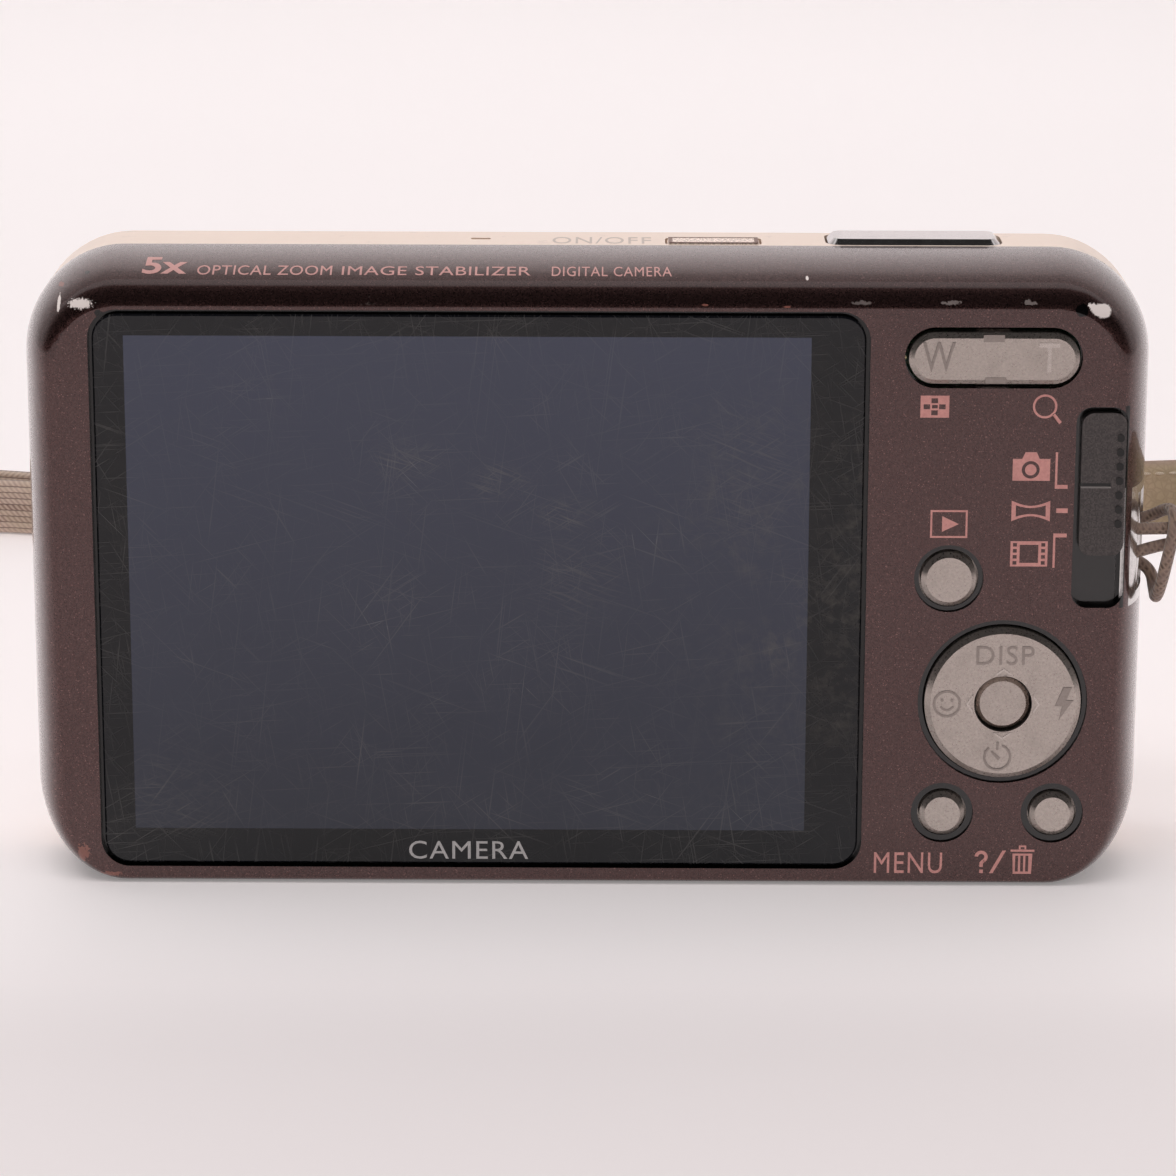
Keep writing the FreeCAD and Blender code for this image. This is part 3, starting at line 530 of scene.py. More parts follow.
def brown_paint(name, wear_and_painted_light=True):
    M = Mat(name)
    x, y, z = M.xyz()
    fl = M.flakes(0.00009)
    n1 = M.noise(7000.0, 2.0, 0.6)
    sp = M.math("ADD", M.math("MULTIPLY", fl, 0.6), M.math("MULTIPLY", n1, 0.5))
    base = M.mix(M.rng(sp, 0.2, 0.95), (0.046, 0.019, 0.018), (0.128, 0.066, 0.062))
    base = M.mix(M.rng(M.noise(60, 3), 0.35, 0.7, 0.0, 0.25), base, (0.088, 0.04, 0.036))
    glint = M.rng(M.flakes(0.00008), 0.972, 0.992)
    base = M.mix(M.math("MULTIPLY", glint, 0.42), base, (0.42, 0.22, 0.20))
    rough = M.rng(fl, 0, 1, 0.24, 0.4)
    metal = 0.92
    # wear marks, and with them painted light: painted shade in the window pocket, painted highlights and painted dark
    # reflection at the upper corners
    if wear_and_painted_light:
        # painted shade: the walls of the window pocket are coloured near black
        inwin = M.math("MULTIPLY", M.inside(x, WIN[0] * MM - 1e-5, WIN[1] * MM + 1e-5, 1e-6),
                       M.inside(z, WIN[2] * MM - 1e-5, WIN[3] * MM + 1e-5, 1e-6))
        window_wall_shade = M.math("MULTIPLY", inwin, M.rng(y, -0.00953, -0.0095))
        inrec = M.math("MULTIPLY", M.inside(x, 0.03915, 0.0435, 2e-5), M.inside(z, 0.0237, 0.0404, 2e-5))
        rec = M.math("MULTIPLY", inrec, M.rng(y, -0.0094, -0.0093))
        seam = M.rng(y, 0.00052, 0.0006)
        # near black for the slider recess and the seam, and painted shade in the window pocket
        black_and_shade = M.top(window_wall_shade, rec, seam)
        # pale paint chips; the first four patches, at the upper corners, are painted highlights
        chips_and_highlights = M.top(
            M.blob((41.0, -9.15, 48.1), (0.85, 1.2, 0.55), 0.6, 1500.0),
            M.blob((40.2, -9.35, 48.45), (0.35, 1.0, 0.3), 0.9, 3600.0),
            M.blob((-40.3, -9.2, 48.4), (1.05, 1.2, 0.42), 0.8, 5200.0),
            M.blob((-42.15, -8.2, 48.3), (0.16, 1.6, 0.75), 0.5, 1800.0),
            M.math("MULTIPLY", M.blob((29.0, -9.42, 48.74), (0.7, 0.5, 0.16), 1.5, 3200.0), 0.35),
            M.math("MULTIPLY", M.blob((21.9, -9.42, 48.72), (0.7, 0.5, 0.14), 1.5, 3400.0), 0.3),
            M.math("MULTIPLY", M.blob((35.2, -9.4, 48.76), (0.5, 0.5, 0.18), 1.5, 3600.0), 0.35),
            M.blob((17.6, -7.35, 50.33), (0.12, 0.4, 0.2), 0.4))
        orange = M.top(
            M.blob((9.41, -9.5, 48.52), (0.26, 0.5, 0.1), 0.6),
            M.blob((15.93, -9.5, 48.4), (0.3, 0.5, 0.09), 0.6),
            M.blob((-42.3, -5.75, 49.35), (0.55, 0.7, 0.16), 0.7),
            M.blob((-41.3, -9.3, 2.6), (0.5, 0.9, 0.7), 1.5, 2600.0),
            M.blob((-39.2, -9.5, 0.75), (0.8, 0.6, 0.2), 1.4, 2600.0))
        # dark spots at the upper corners: painted dark reflection beside the painted corner highlights
        dark = M.top(
            M.blob((39.35, -9.5, 48.2), (0.5, 0.5, 0.6), 0.6),
            M.blob((-40.1, -6.1, 50.38), (0.3, 0.5, 0.12), 0.6),
            M.blob((41.0, -4.0, 50.2), (0.16, 0.5, 0.16), 0.3),
            M.blob((-38.8, -9.2, 47.7), (0.4, 0.5, 0.35), 0.9))
        # fine edge rub on the rounded rim
        rim = M.math("MULTIPLY", M.rng(M.noise(900, 5, 0.7), 0.66, 0.74), M.rng(z, 0.0478, 0.0487))
        rim = M.math("MULTIPLY", rim, M.rng(y, -0.0094, -0.0088, 1.0, 0.0))
        base = M.mix(rim, base, (0.42, 0.33, 0.30))
        base = M.mix(chips_and_highlights, base, (0.93, 0.83, 0.79))
        base = M.mix(M.math("MULTIPLY", orange, 0.75), base, (0.30, 0.10, 0.07))
        base = M.mix(dark, base, (0.006, 0.005, 0.005))
        base = M.mix(black_and_shade, base, (0.006, 0.0055, 0.0055))
        metal = M.fmix(M.top(chips_and_highlights, orange), 0.92, 0.1)
        rough = M.fmix(M.top(chips_and_highlights, orange), rough, 0.5)
        rough = M.fmix(black_and_shade, rough, 0.25)
    h = M.math("ADD", M.math("MULTIPLY", fl, 0.35), M.noise(2500.0, 3.0, 0.6))
    M.set(Base_Color=base, Roughness=rough, Metallic=metal, Normal=M.bump(h, 0.06, 0.00004),
          Coat_Weight=0.9, Coat_Roughness=0.06, Coat_IOR=1.5)
    return M


give(brown_paint("rear_shell"), "rear_cover")
give(brown_paint("door_paint", wear_and_painted_light=False), "battery_door")

# ------------------------------------------------------------------ champagne front cover
M = Mat("front_shell")
x, y, z = M.xyz()
brushed = M.noise(1.0, 3.0, 0.6, src=M.mapping(scale=(250, 9000, 9000)))
fl = M.flakes(0.00012)
base = M.mix(M.rng(brushed, 0.3, 0.7), (0.97, 0.76, 0.63), (1.0, 0.84, 0.71))
base = M.mix(M.rng(fl, 0, 1, 0.0, 0.18), base, (1.0, 0.9, 0.82))
rub = M.math("MULTIPLY", M.rng(M.noise(420, 5, 0.65), 0.62, 0.7), 0.35)
base = M.mix(rub, base, (0.62, 0.5, 0.44))
hole = M.rng(y, 0.00078, 0.00072)
base = M.mix(hole, base, (0.1, 0.06, 0.055))
M.set(Base_Color=base, Metallic=0.35, Roughness=M.rng(brushed, 0.3, 0.7, 0.3, 0.42), Coat_Weight=0.25,
      Coat_Roughness=0.12, Normal=M.bump(M.math("ADD", brushed, M.math("MULTIPLY", fl, 0.3)), 0.05, 0.00003))
give(M, "front_cover")

# ------------------------------------------------------------------ window over the screen
M = Mat("window_panel")
x, y, z = M.xyz()
lcd = M.math("MULTIPLY", M.inside(x, -0.03693, 0.01793, 2.5e-5), M.inside(z, 0.00477, 0.04592, 2.5e-5))
# painted reflection: the screen's colour grows lighter towards the top
top_sheen = M.rng(z, 0.005, 0.046, 0.0, 1.0)
lc = M.mix(top_sheen, (0.031, 0.034, 0.049), (0.058, 0.065, 0.103))
lc = M.mix(M.rng(M.noise(45, 4, 0.55), 0.3, 0.75, 0.0, 0.3), lc, (0.06, 0.067, 0.096))
bo = M.mix(M.rng(M.noise(70, 3), 0.3, 0.7), (0.0028, 0.0032, 0.0046), (0.0056, 0.0062, 0.0086))
base = M.mix(lcd, bo, lc)


def streaks(angle, sx, sz, lo, hi, off):
    """Fine straight scratches at one angle."""
    turned = M.mapping(rot=(0, angle, 0))
    mp = M.mapping(scale=(sx, 400, sz), loc=(off, off * 0.7, off * 1.3), src=turned)
    n = M.noise(1.0, 1.0, 0.5, src=mp, dist=0.15)
    return M.rng(n, lo, hi)


patch = M.rng(M.noise(110, 4, 0.6), 0.42, 0.72)
right = M.math("MULTIPLY", M.rng(x, 0.004, 0.014), M.rng(M.noise(160, 4, 0.6), 0.4, 0.62))
right = M.math("MULTIPLY", right, M.inside(z, 0.012, 0.040, 0.005))
sets = [(0.25, 75, 6200, 0.69, 0.76, 1.0), (-0.35, 90, 6600, 0.69, 0.76, 3.1), (0.95, 85, 7000, 0.69, 0.76, 5.7),
        (-1.05, 95, 6200, 0.69, 0.76, 8.3), (1.45, 85, 7200, 0.69, 0.76, 11.9), (-0.8, 170, 8200, 0.67, 0.75, 15.2),
        (0.55, 180, 8600, 0.67, 0.75, 19.4), (-1.4, 150, 9000, 0.67, 0.75, 23.6), (0.05, 160, 9000, 0.67, 0.75, 29.3)]
scr = streaks(*sets[0])
for s_ in sets[1:]:
    scr = M.math("MAXIMUM", scr, streaks(*s_))
hairs = M.math("MULTIPLY", scr, M.rng(patch, 0, 1, 0.3, 1.0))
base = M.mix(M.math("MULTIPLY", hairs, 0.30), base, (0.19, 0.18, 0.175))
haze = M.math("MULTIPLY", M.rng(M.noise(900, 5, 0.7), 0.45, 0.7), M.math("ADD", M.math("MULTIPLY", right, 0.5), M.math("MULTIPLY", patch, 0.10)))
base = M.mix(M.math("MULTIPLY", haze, 0.5), base, (0.17, 0.15, 0.125))
def soft(c, r):
    """Smooth patch, 1 at point c (mm) and 0 at radii r (mm)."""
    d = M.vec("DIVIDE", M.vec("SUBTRACT", M.obj, tuple(q * MM for q in c)), tuple(q * MM for q in r))
    return M.rng(M.vec("LENGTH", d), 0.2, 1.0, 1.0, 0.0, True)


zone = M.top(soft((-14.2, -9.6, 35.9), (4.2, 9.0, 2.2)), soft((-7.0, -9.6, 34.0), (3.4, 9.0, 2.2)), soft((-1.6, -9.6, 31.4), (3.6, 9.0, 2.0)),
             M.math("MULTIPLY", soft((-1.0, -9.6, 26.0), (7.0, 9.0, 6.0)), 0.5), M.math("MULTIPLY", soft((13.0, -9.6, 35.0), (6.0, 9.0, 9.0)), 0.6),
             M.math("MULTIPLY", soft((-33.0, -9.6, 8.0), (6.0, 9.0, 6.0)), 0.45))
cut = M.top(streaks(-0.42, 230, 5200, 0.58, 0.72, 41.0), streaks(-0.28, 260, 6200, 0.58, 0.72, 47.0), streaks(0.6, 360, 6800, 0.62, 0.74, 53.0),
            M.math("MULTIPLY", M.rng(M.noise(1400, 5, 0.7), 0.5, 0.7), 0.5))
gash = M.math("MULTIPLY", zone, cut)
base = M.mix(M.math("MULTIPLY", gash, 0.3), base, (0.20, 0.185, 0.16))
M.set(Base_Color=base, Roughness=M.fmix(M.top(hairs, haze), 0.07, 0.32), Specular_IOR_Level=0.4,
      Normal=M.bump(M.math("ADD", M.math("MULTIPLY", scr, -0.5), M.math("MULTIPLY", M.noise(90, 2), 0.2)), 0.04, 0.00004))
give(M, "lcd_window")

# ------------------------------------------------------------------ metals and plastics of the controls


def satin(name, light, dark, rough=(0.26, 0.42), metal=0.9, grain=4500.0, wearf=0.0):
    M = Mat(name)
    n = M.noise(grain, 3.0, 0.6)
    big = M.noise(380.0, 3.0, 0.6)
    col = M.mix(M.rng(n, 0.3, 0.7), dark, light)
    col = M.mix(M.rng(big, 0.5, 0.75, 0.0, 0.35), col, tuple(c * 0.72 for c in dark))
    if wearf:
        w = M.rng(M.noise(1500.0, 5.0, 0.7), 0.66, 0.72, 0.0, wearf)
        col = M.mix(w, col, (0.12, 0.1, 0.09))
    M.set(Base_Color=col, Metallic=metal, Roughness=M.rng(n, 0.3, 0.7, rough[0], rough[1]),
          Normal=M.bump(n, 0.12, 0.00003))
    return M


silver = satin("button_metal", (0.60, 0.53, 0.485), (0.44, 0.385, 0.35), (0.24, 0.38), 0.94, 5200.0, 0.25)
give(silver, "playback_button", "menu_button", "delete_button", "centre_button", "control_pad_ring", "zoom_rocker")

M = Mat("black_gloss")
n = M.noise(1200, 3)
M.set(Base_Color=M.mix(M.rng(n, 0.35, 0.7), (0.006, 0.005, 0.005), (0.013, 0.011, 0.011)), Roughness=M.rng(n, 0.3, 0.7, 0.08, 0.2),
      Coat_Weight=0.5, Normal=M.bump(n, 0.05, 0.00003))
give(M, "button_bezel")

M = Mat("slider_brown")
x, y, z = M.xyz()
fl = M.flakes(0.0001)
base = M.mix(M.rng(fl, 0.2, 1.0), (0.034, 0.027, 0.026), (0.085, 0.070, 0.067))
# the tick is painted light: a light strip for its lit lower edge under a near-black strip of painted shade
tick = M.math("MULTIPLY", M.inside(z, 0.0337, 0.03412, 2e-5), M.inside(x, 0.0396, 0.04212, 3e-5))
base = M.mix(M.math("MULTIPLY", tick, M.inside(z, 0.0337, 0.03381, 2e-5)), base, (0.34, 0.31, 0.30))
base = M.mix(M.math("MULTIPLY", tick, M.inside(z, 0.03384, 0.03412, 2e-5)), base, (0.004, 0.004, 0.004))
dots = M.math("MULTIPLY", M.rng(y, -0.00952, -0.00958), M.inside(x, 0.0425, 0.0431, 5e-5))
base = M.mix(dots, base, (0.004, 0.003, 0.003))
M.set(Base_Color=base, Metallic=0.25, Roughness=M.rng(fl, 0, 1, 0.3, 0.44), Coat_Weight=0.3, Coat_Roughness=0.15,
      Normal=M.bump(fl, 0.05, 0.00003))
give(M, "mode_slider")

give(satin("shutter_chrome", (0.88, 0.85, 0.85), (0.72, 0.69, 0.68), (0.1, 0.2), 1.0, 3200.0), "shutter_button")
give(satin("power_metal", (0.96, 0.80, 0.69), (0.90, 0.73, 0.62), (0.2, 0.34), 0.45, 4200.0), "power_button")
give(satin("lug_chrome", (0.80, 0.79, 0.78), (0.60, 0.58, 0.57), (0.1, 0.26), 1.0, 3000.0, 0.4), "strap_lug")
give(satin("ring_metal", (0.80, 0.74, 0.69), (0.66, 0.60, 0.55), (0.14, 0.26), 1.0, 3500.0), "lens_bezel")
give(satin("barrel_metal", (0.66, 0.61, 0.57), (0.54, 0.50, 0.46), (0.22, 0.36), 1.0, 4200.0), "lens_barrel_outer", "lens_barrel_inner")
give(satin("screw_steel", (0.10, 0.10, 0.11), (0.05, 0.05, 0.055), (0.25, 0.45), 0.9, 5000.0), "case_screws")
give(satin("pressed_steel", (0.62, 0.62, 0.63), (0.46, 0.46, 0.47), (0.25, 0.45), 1.0, 2600.0), "lcd_frame", "card_slot", "microphone", "multi_connector")
give(satin("chassis_steel", (0.60, 0.60, 0.62), (0.44, 0.45, 0.47), (0.3, 0.5), 1.0, 1800.0), "chassis_plate", "sensor_plate")
give(satin("dome_steel", (0.78, 0.77, 0.74), (0.6, 0.6, 0.58), (0.14, 0.3), 1.0, 6000.0), "key_domes")
give(satin("motor_can", (0.66, 0.66, 0.68), (0.5, 0.5, 0.52), (0.2, 0.35), 1.0, 3500.0), "zoom_motor")
give(satin("pin_steel", (0.66, 0.66, 0.67), (0.5, 0.5, 0.5), (0.15, 0.3), 1.0, 5500.0), "door_pin")
give(satin("nut_brass", (0.78, 0.60, 0.28), (0.58, 0.42, 0.18), (0.2, 0.38), 1.0, 3500.0, 0.3), "tripod_nut")
give(satin("contact_gold", (0.88, 0.68, 0.30), (0.72, 0.52, 0.2), (0.15, 0.3), 1.0, 5000.0), "battery_contacts")
give(satin("blade_steel", (0.085, 0.085, 0.088), (0.045, 0.045, 0.048), (0.35, 0.5), 0.7, 5000.0), "cover_blade_upper", "cover_blade_lower")
give(satin("reflector_mirror", (0.92, 0.92, 0.93), (0.84, 0.84, 0.86), (0.04, 0.12), 1.0, 2500.0), "flash_reflector")


def plastic(name, a, b, rough=(0.4, 0.6), grain=2600.0, bump=0.25, coat=0.0):
    M = Mat(name)
    n = M.noise(grain, 4.0, 0.65)
    big = M.noise(grain / 12, 3.0)
    col = M.mix(M.rng(n, 0.3, 0.7), a, b)
    col = M.mix(M.rng(big, 0.5, 0.8, 0.0, 0.3), col, tuple(c * 0.8 for c in a))
    M.set(Base_Color=col, Roughness=M.rng(n, 0.3, 0.7, rough[0], rough[1]), Coat_Weight=coat, Normal=M.bump(n, bump, 0.00004))
    return M


give(plastic("black_matte", (0.014, 0.014, 0.015), (0.026, 0.026, 0.028), (0.5, 0.7)), "control_pad_base", "lens_housing", "speaker",
     "door_latch", "battery_box", "cam_ring", "front_lens_cell", "rear_lens_carrier", "shutter_unit")
give(plastic("battery_case", (0.035, 0.037, 0.042), (0.055, 0.058, 0.065), (0.4, 0.55)), "battery")
give(plastic("backlight_film", (0.86, 0.87, 0.88), (0.93, 0.93, 0.93), (0.35, 0.5), 1500.0, 0.1), "lcd_backlight")
give(plastic("lcd_cell", (0.02, 0.024, 0.032), (0.035, 0.04, 0.052), (0.1, 0.2), 900.0, 0.03), "lcd_panel")
give(plastic("gear_plastic", (0.76, 0.73, 0.65), (0.86, 0.83, 0.75), (0.4, 0.55)), "zoom_gear")
give(plastic("capacitor_sleeve", (0.010, 0.010, 0.018), (0.022, 0.022, 0.036), (0.2, 0.35), 1800.0, 0.1, 0.3), "flash_capacitor")
give(plastic("lever_orange", (0.68, 0.20, 0.03), (0.78, 0.27, 0.05), (0.35, 0.5)), "battery_lever")
give(plastic("lamp_lens", (0.50, 0.05, 0.02), (0.62, 0.10, 0.04), (0.08, 0.16), 900.0, 0.05, 0.5), "af_lamp_window")
give(plastic("sensor_silicon", (0.020, 0.018, 0.035), (0.045, 0.03, 0.07), (0.08, 0.2), 4000.0, 0.04), "image_sensor")

M = Mat("flash_lens")
x, y, z = M.xyz()
w = M.math("SINE", M.math("MULTIPLY", x, 9000.0))
M.set(Base_Color=M.mix(M.rng(w, -1, 1), (0.62, 0.63, 0.66), (0.88, 0.88, 0.9)), Roughness=M.rng(w, -1, 1, 0.08, 0.2),
      Transmission_Weight=0.35, IOR=1.49, Normal=M.bump(w, 0.5, 0.0001))
give(M, "flash_window")

M = Mat("lens_glass")
n = M.noise(260, 2)
M.set(Base_Color=M.mix(M.rng(n, 0.3, 0.7), (0.30, 0.36, 0.52), (0.42, 0.46, 0.66)), Roughness=M.rng(n, 0.3, 0.7, 0.02, 0.05),
      Transmission_Weight=0.85, IOR=1.6, Coat_Weight=0.6, Coat_Roughness=0.02)
give(M, "front_lens", "rear_lens", "flash_tube")

M = Mat("circuit_board")
x, y, z = M.xyz()
br = M.node("ShaderNodeTexBrick", {"Vector": M.mapping(rot=(math.pi / 2, 0, 0)), "Scale": 260.0, "Mortar Size": 0.03,
                                   "Color1": (0.012, 0.11, 0.045, 1), "Color2": (0.02, 0.15, 0.065, 1), "Mortar": (0.20, 0.33, 0.16, 1)}).outputs["Color"]
pads = M.rng(M.vor(650.0), 0.10, 0.13, 1.0, 0.0)
M.set(Base_Color=M.mix(pads, br, (0.72, 0.62, 0.36)), Roughness=M.fmix(pads, 0.34, 0.25), Metallic=M.math("MULTIPLY", pads, 0.9),
      Normal=M.bump(M.noise(1200, 3), 0.15, 0.00005))
give(M, "main_board", "button_board", "switch_board")

# ------------------------------------------------------------------ printed and embossed marks
Y0 = -9.55
A_, B_, YC, ZC = 9.3, 3.3, -0.25, 48.2


def shape_mesh(curve, name):
    """Filled flat curve to a raw mesh, then its temporary object goes."""
    o = bpy.data.objects.new("tmp_" + name, curve)
    coll.objects.link(o)
    bpy.context.view_layer.update()
    me = bpy.data.meshes.new_from_object(o.evaluated_get(bpy.context.evaluated_depsgraph_get()))
    bpy.data.objects.remove(o)
    bpy.data.curves.remove(curve)
    return me


def text_mesh(body, name, bold=0.0, spacing=1.0, shear=0.0):
    c = bpy.data.curves.new("t_" + name, "FONT")
    c.body = body
    c.size = 1.0
    c.offset = bold
    c.space_character = spacing
    c.shear = shear
    c.extrude = 0.5
    c.resolution_u = 4
    return shape_mesh(c, name)


def loops_mesh(loops, name):
    c = bpy.data.curves.new("l_" + name, "CURVE")
    c.dimensions = "2D"
    c.fill_mode = "BOTH"
    c.extrude = 0.5
    for lp in loops:
        s = c.splines.new("POLY")
        s.points.add(len(lp) - 1)
        for p, q in zip(s.points, lp):
            p.co = (q[0], q[1], 0.0, 1.0)
        s.use_cyclic_u = True
    return shape_mesh(c, name)


def fit(me, rect):
    """Scales the mesh's own xy extent to the rectangle x0, x1, z0, z1."""
    xs = [v.co.x for v in me.vertices]
    ys = [v.co.y for v in me.vertices]
    ax, ay = min(xs), min(ys)
    kx, ky = (rect[1] - rect[0]) / (max(xs) - ax), (rect[3] - rect[2]) / (max(ys) - ay)
    for v in me.vertices:
        v.co.x = rect[0] + (v.co.x - ax) * kx
        v.co.y = rect[2] + (v.co.y - ay) * ky


def place(me, name, y_top, thick, mat, body="camera_body", slotname="rear_shell", sink=0.01, bevel=0.0):
    """Local x, y, z(-0.5..0.5) become x, z and depth, from just under y_top outwards."""
    for v in me.vertices:
        w = (v.co.z + 0.5)
        v.co = Vector((v.co.x * MM, (y_top + sink - w * (thick + sink)) * MM, v.co.y * MM))
    o = bpy.data.objects.new(name, me)
    coll.objects.link(o)
    if bevel:
        bm = bmesh.new()
        bm.from_mesh(me)
        bmesh.ops.remove_doubles(bm, verts=bm.verts, dist=1e-7)
        front = [e for e in bm.edges if len(e.link_faces) == 2 and abs(e.verts[0].co.y - (y_top - thick) * MM) < 1e-7
                 and abs(e.verts[1].co.y - (y_top - thick) * MM) < 1e-7
                 and abs(abs(e.link_faces[0].normal.y) - abs(e.link_faces[1].normal.y)) > 0.5]
        try:
            bmesh.ops.bevel(bm, geom=front, offset=bevel * MM, segments=2, affect="EDGES", clamp_overlap=True)
        except Exception:
            pass
        bm.to_mesh(me)
        bm.free()
    me.materials.clear()
    me.materials.append(mat.m)
    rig.ride(o, body)
    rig.slot(o, slotname)
    return o


def on_edge(me, name, x0, x1, t0, t1, mat, thick=0.012):
    """Wraps a flat mesh on the rounded upper edge: x from x0 to x1, angle t0 at its foot to t1 at its top."""
    bm = bmesh.new()
    bm.from_mesh(me)
    ys = [v.co.y for v in bm.verts]
    lo, hi = min(ys), max(ys)
    for k in range(1, 7):
        g = bm.verts[:] + bm.edges[:] + bm.faces[:]
        bmesh.ops.bisect_plane(bm, geom=g, plane_co=(0, lo + (hi - lo) * k / 7, 0), plane_no=(0, 1, 0), dist=1e-6)
    xs = [v.co.x for v in bm.verts]
    ax, bx = min(xs), max(xs)
    for v in bm.verts:
        X = x0 + (v.co.x - ax) / (bx - ax) * (x1 - x0)
        t = math.radians(t0 + (v.co.y - lo) / (hi - lo) * (t1 - t0))
        n = Vector((0, -math.sin(t) / A_, math.cos(t) / B_)).normalized()
        p = Vector((X, YC - A_ * math.sin(t), ZC + B_ * math.cos(t)))
        v.co = (p + n * (thick if v.co.z > 0 else -0.02)) * MM
    bm.to_mesh(me)
    bm.free()
    o = bpy.data.objects.new(name, me)
    coll.objects.link(o)
    me.materials.clear()
    me.materials.append(mat.m)
    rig.ride(o, "camera_body")
    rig.slot(o, "rear_shell")
    return o


def ink(name, a, b, rough=0.45, metal=0.0):
    M = Mat(name)
    n = M.noise(3800, 4, 0.65)
    big = M.noise(500, 3)
    col = M.mix(M.rng(n, 0.3, 0.7), a, b)
    col = M.mix(M.rng(big, 0.5, 0.8, 0.0, 0.3), col, tuple(c * 0.7 for c in a))
    M.set(Base_Color=col, Roughness=M.rng(n, 0.3, 0.7, rough - 0.08, rough + 0.1), Metallic=metal, Normal=M.bump(n, 0.1, 0.00002))
    return M


pink = ink("print_pink", (0.60, 0.26, 0.24), (0.74, 0.36, 0.32), 0.4)
pink_top = ink("print_pink_top", (0.58, 0.29, 0.27), (0.70, 0.38, 0.35), 0.4)
grey_print = ink("print_grey", (0.42, 0.40, 0.40), (0.52, 0.50, 0.49), 0.4)
faint = ink("print_faint", (0.52, 0.43, 0.38), (0.62, 0.52, 0.46), 0.4)
# painted light: the raised marks take a shaded copy and a lit copy of the button metal, darker and lighter than it
emboss_painted_shade = satin("emboss_shade", (0.42, 0.365, 0.335), (0.33, 0.285, 0.26), (0.3, 0.45), 0.9, 5200.0)
emboss_painted_light = satin("emboss_painted_light", (0.68, 0.61, 0.57), (0.56, 0.50, 0.46), (0.22, 0.34), 0.95, 5200.0)
brown_line = ink("print_brown", (0.16, 0.085, 0.06), (0.24, 0.13, 0.10), 0.4)
gloss_black = ink("print_black", (0.004, 0.004, 0.004), (0.008, 0.008, 0.008), 0.25)


def rect(x0, x1, z0, z1):
    return [(x0, z0), (x1, z0), (x1, z1), (x0, z1)]


def circle(cx, cz, r, n=40, a0=0.0, a1=360.0):
    k = n if abs(a1 - a0 - 360) < 1e-6 else n + 1
    return [(cx + r * math.cos(math.radians(a0 + (a1 - a0) * i / n)), cz + r * math.sin(math.radians(a0 + (a1 - a0) * i / n))) for i in range(k)]


def arc_band(cx, cz, r, w, a0, a1, n=28):
    out = circle(cx, cz, r + w / 2, n, a0, a1)
    inn = circle(cx, cz, r - w / 2, n, a0, a1)
    if len(out) == n:
        return None
    return out + inn[::-1]


def icon(name, loops, mat=None, y=Y0, thick=0.012, **kw):
    return place(loops_mesh(loops, name), name, y, thick, mat or pink, **kw)


def label(name, body, r, mat=None, y=Y0, thick=0.012, bold=0.012, spacing=1.0, **kw):
    me = text_mesh(body, name, bold, spacing)
    fit(me, r)
    return place(me, name, y, thick, mat or pink, **kw)


D = -0.65
# index grid
g = [rect(26.7, 29.0, 40.1 + D, 41.9 + D)]
cw, ch = 2.3 / 5.6, 1.8 / 4.6
for i in range(3):
    for j in range(3):
        if (i + j) % 2 == 1 or (i == 1 and j == 1):
            continue
for (i, j) in ((0, 1), (1, 0), (1, 2), (2, 1)):
    x0 = 26.95 + i * 0.62
    z0 = 40.3 + D + j * 0.49
    g.append(rect(x0, x0 + 0.52, z0, z0 + 0.40))
g.append(rect(27.62, 28.08, 40.86 + D, 41.14 + D))
icon("icon_grid", g)
# magnifier
icon("icon_magnifier", [circle(36.65, 41.05 + D, 0.98), circle(36.65, 41.05 + D, 0.80),
                        [(37.25, 40.35 + D), (37.42, 40.52 + D), (38.02, 39.78 + D), (37.82, 39.6 + D)]])
# still camera
icon("icon_still", [[(34.2, 34.95 + D), (37.2, 34.95 + D), (37.2, 36.75 + D), (36.35, 36.75 + D), (36.1, 37.3 + D), (35.2, 37.3 + D), (34.95, 36.75 + D), (34.2, 36.75 + D)],
                    circle(35.65, 35.85 + D, 0.72), circle(35.65, 35.85 + D, 0.46)])
# panorama
pano_o, pano_i = [], []
for i in range(13):
    u = i / 12
    pano_o.append((34.2 + 3.1 * u, 33.3 + D - 0.42 * math.sin(math.pi * u)))
for i in range(13):
    u = 1 - i / 12
    pano_o.append((34.2 + 3.1 * u, 31.6 + D + 0.42 * math.sin(math.pi * u)))
for i in range(13):
    u = i / 12
    pano_i.append((34.55 + 2.4 * u, 33.02 + D - 0.32 * math.sin(math.pi * (0.1 + 0.8 * u))))
for i in range(13):
    u = 1 - i / 12
    pano_i.append((34.55 + 2.4 * u, 31.88 + D + 0.32 * math.sin(math.pi * (0.1 + 0.8 * u))))
icon("icon_panorama", [pano_o, pano_i])
# film
fl_ = [rect(34.2, 37.2, 27.85 + D, 29.95 + D), rect(34.95, 36.45, 28.15 + D, 29.65 + D)]
for xx in (34.4, 36.68):
    for k in range(4):
        fl_.append(rect(xx, xx + 0.32, 28.0 + D + 0.5 * k, 28.3 + D + 0.5 * k))
icon("icon_film", fl_)
# playback
icon("icon_play_box", [rect(27.7, 30.7, 30.2 + D, 32.5 + D), rect(27.86, 30.54, 30.36 + D, 32.34 + D)])
icon("icon_play_arrow", [[(28.65, 30.7 + D), (30.0, 31.35 + D), (28.65, 32.0 + D)]])
# mode brackets
icon("mark_bracket_low", [[(37.62, 34.3 + D), (38.65, 34.3 + D), (38.65, 34.62 + D), (37.8, 34.62 + D), (37.8, 37.3 + D), (37.62, 37.3 + D)]])
icon("mark_dash", [rect(37.8, 38.72, 32.3 + D, 32.68 + D)])
icon("mark_bracket_high", [[(37.62, 27.75 + D), (37.8, 27.75 + D), (37.8, 30.28 + D), (38.7, 30.28 + D), (38.7, 30.6 + D), (37.62, 30.6 + D)]])
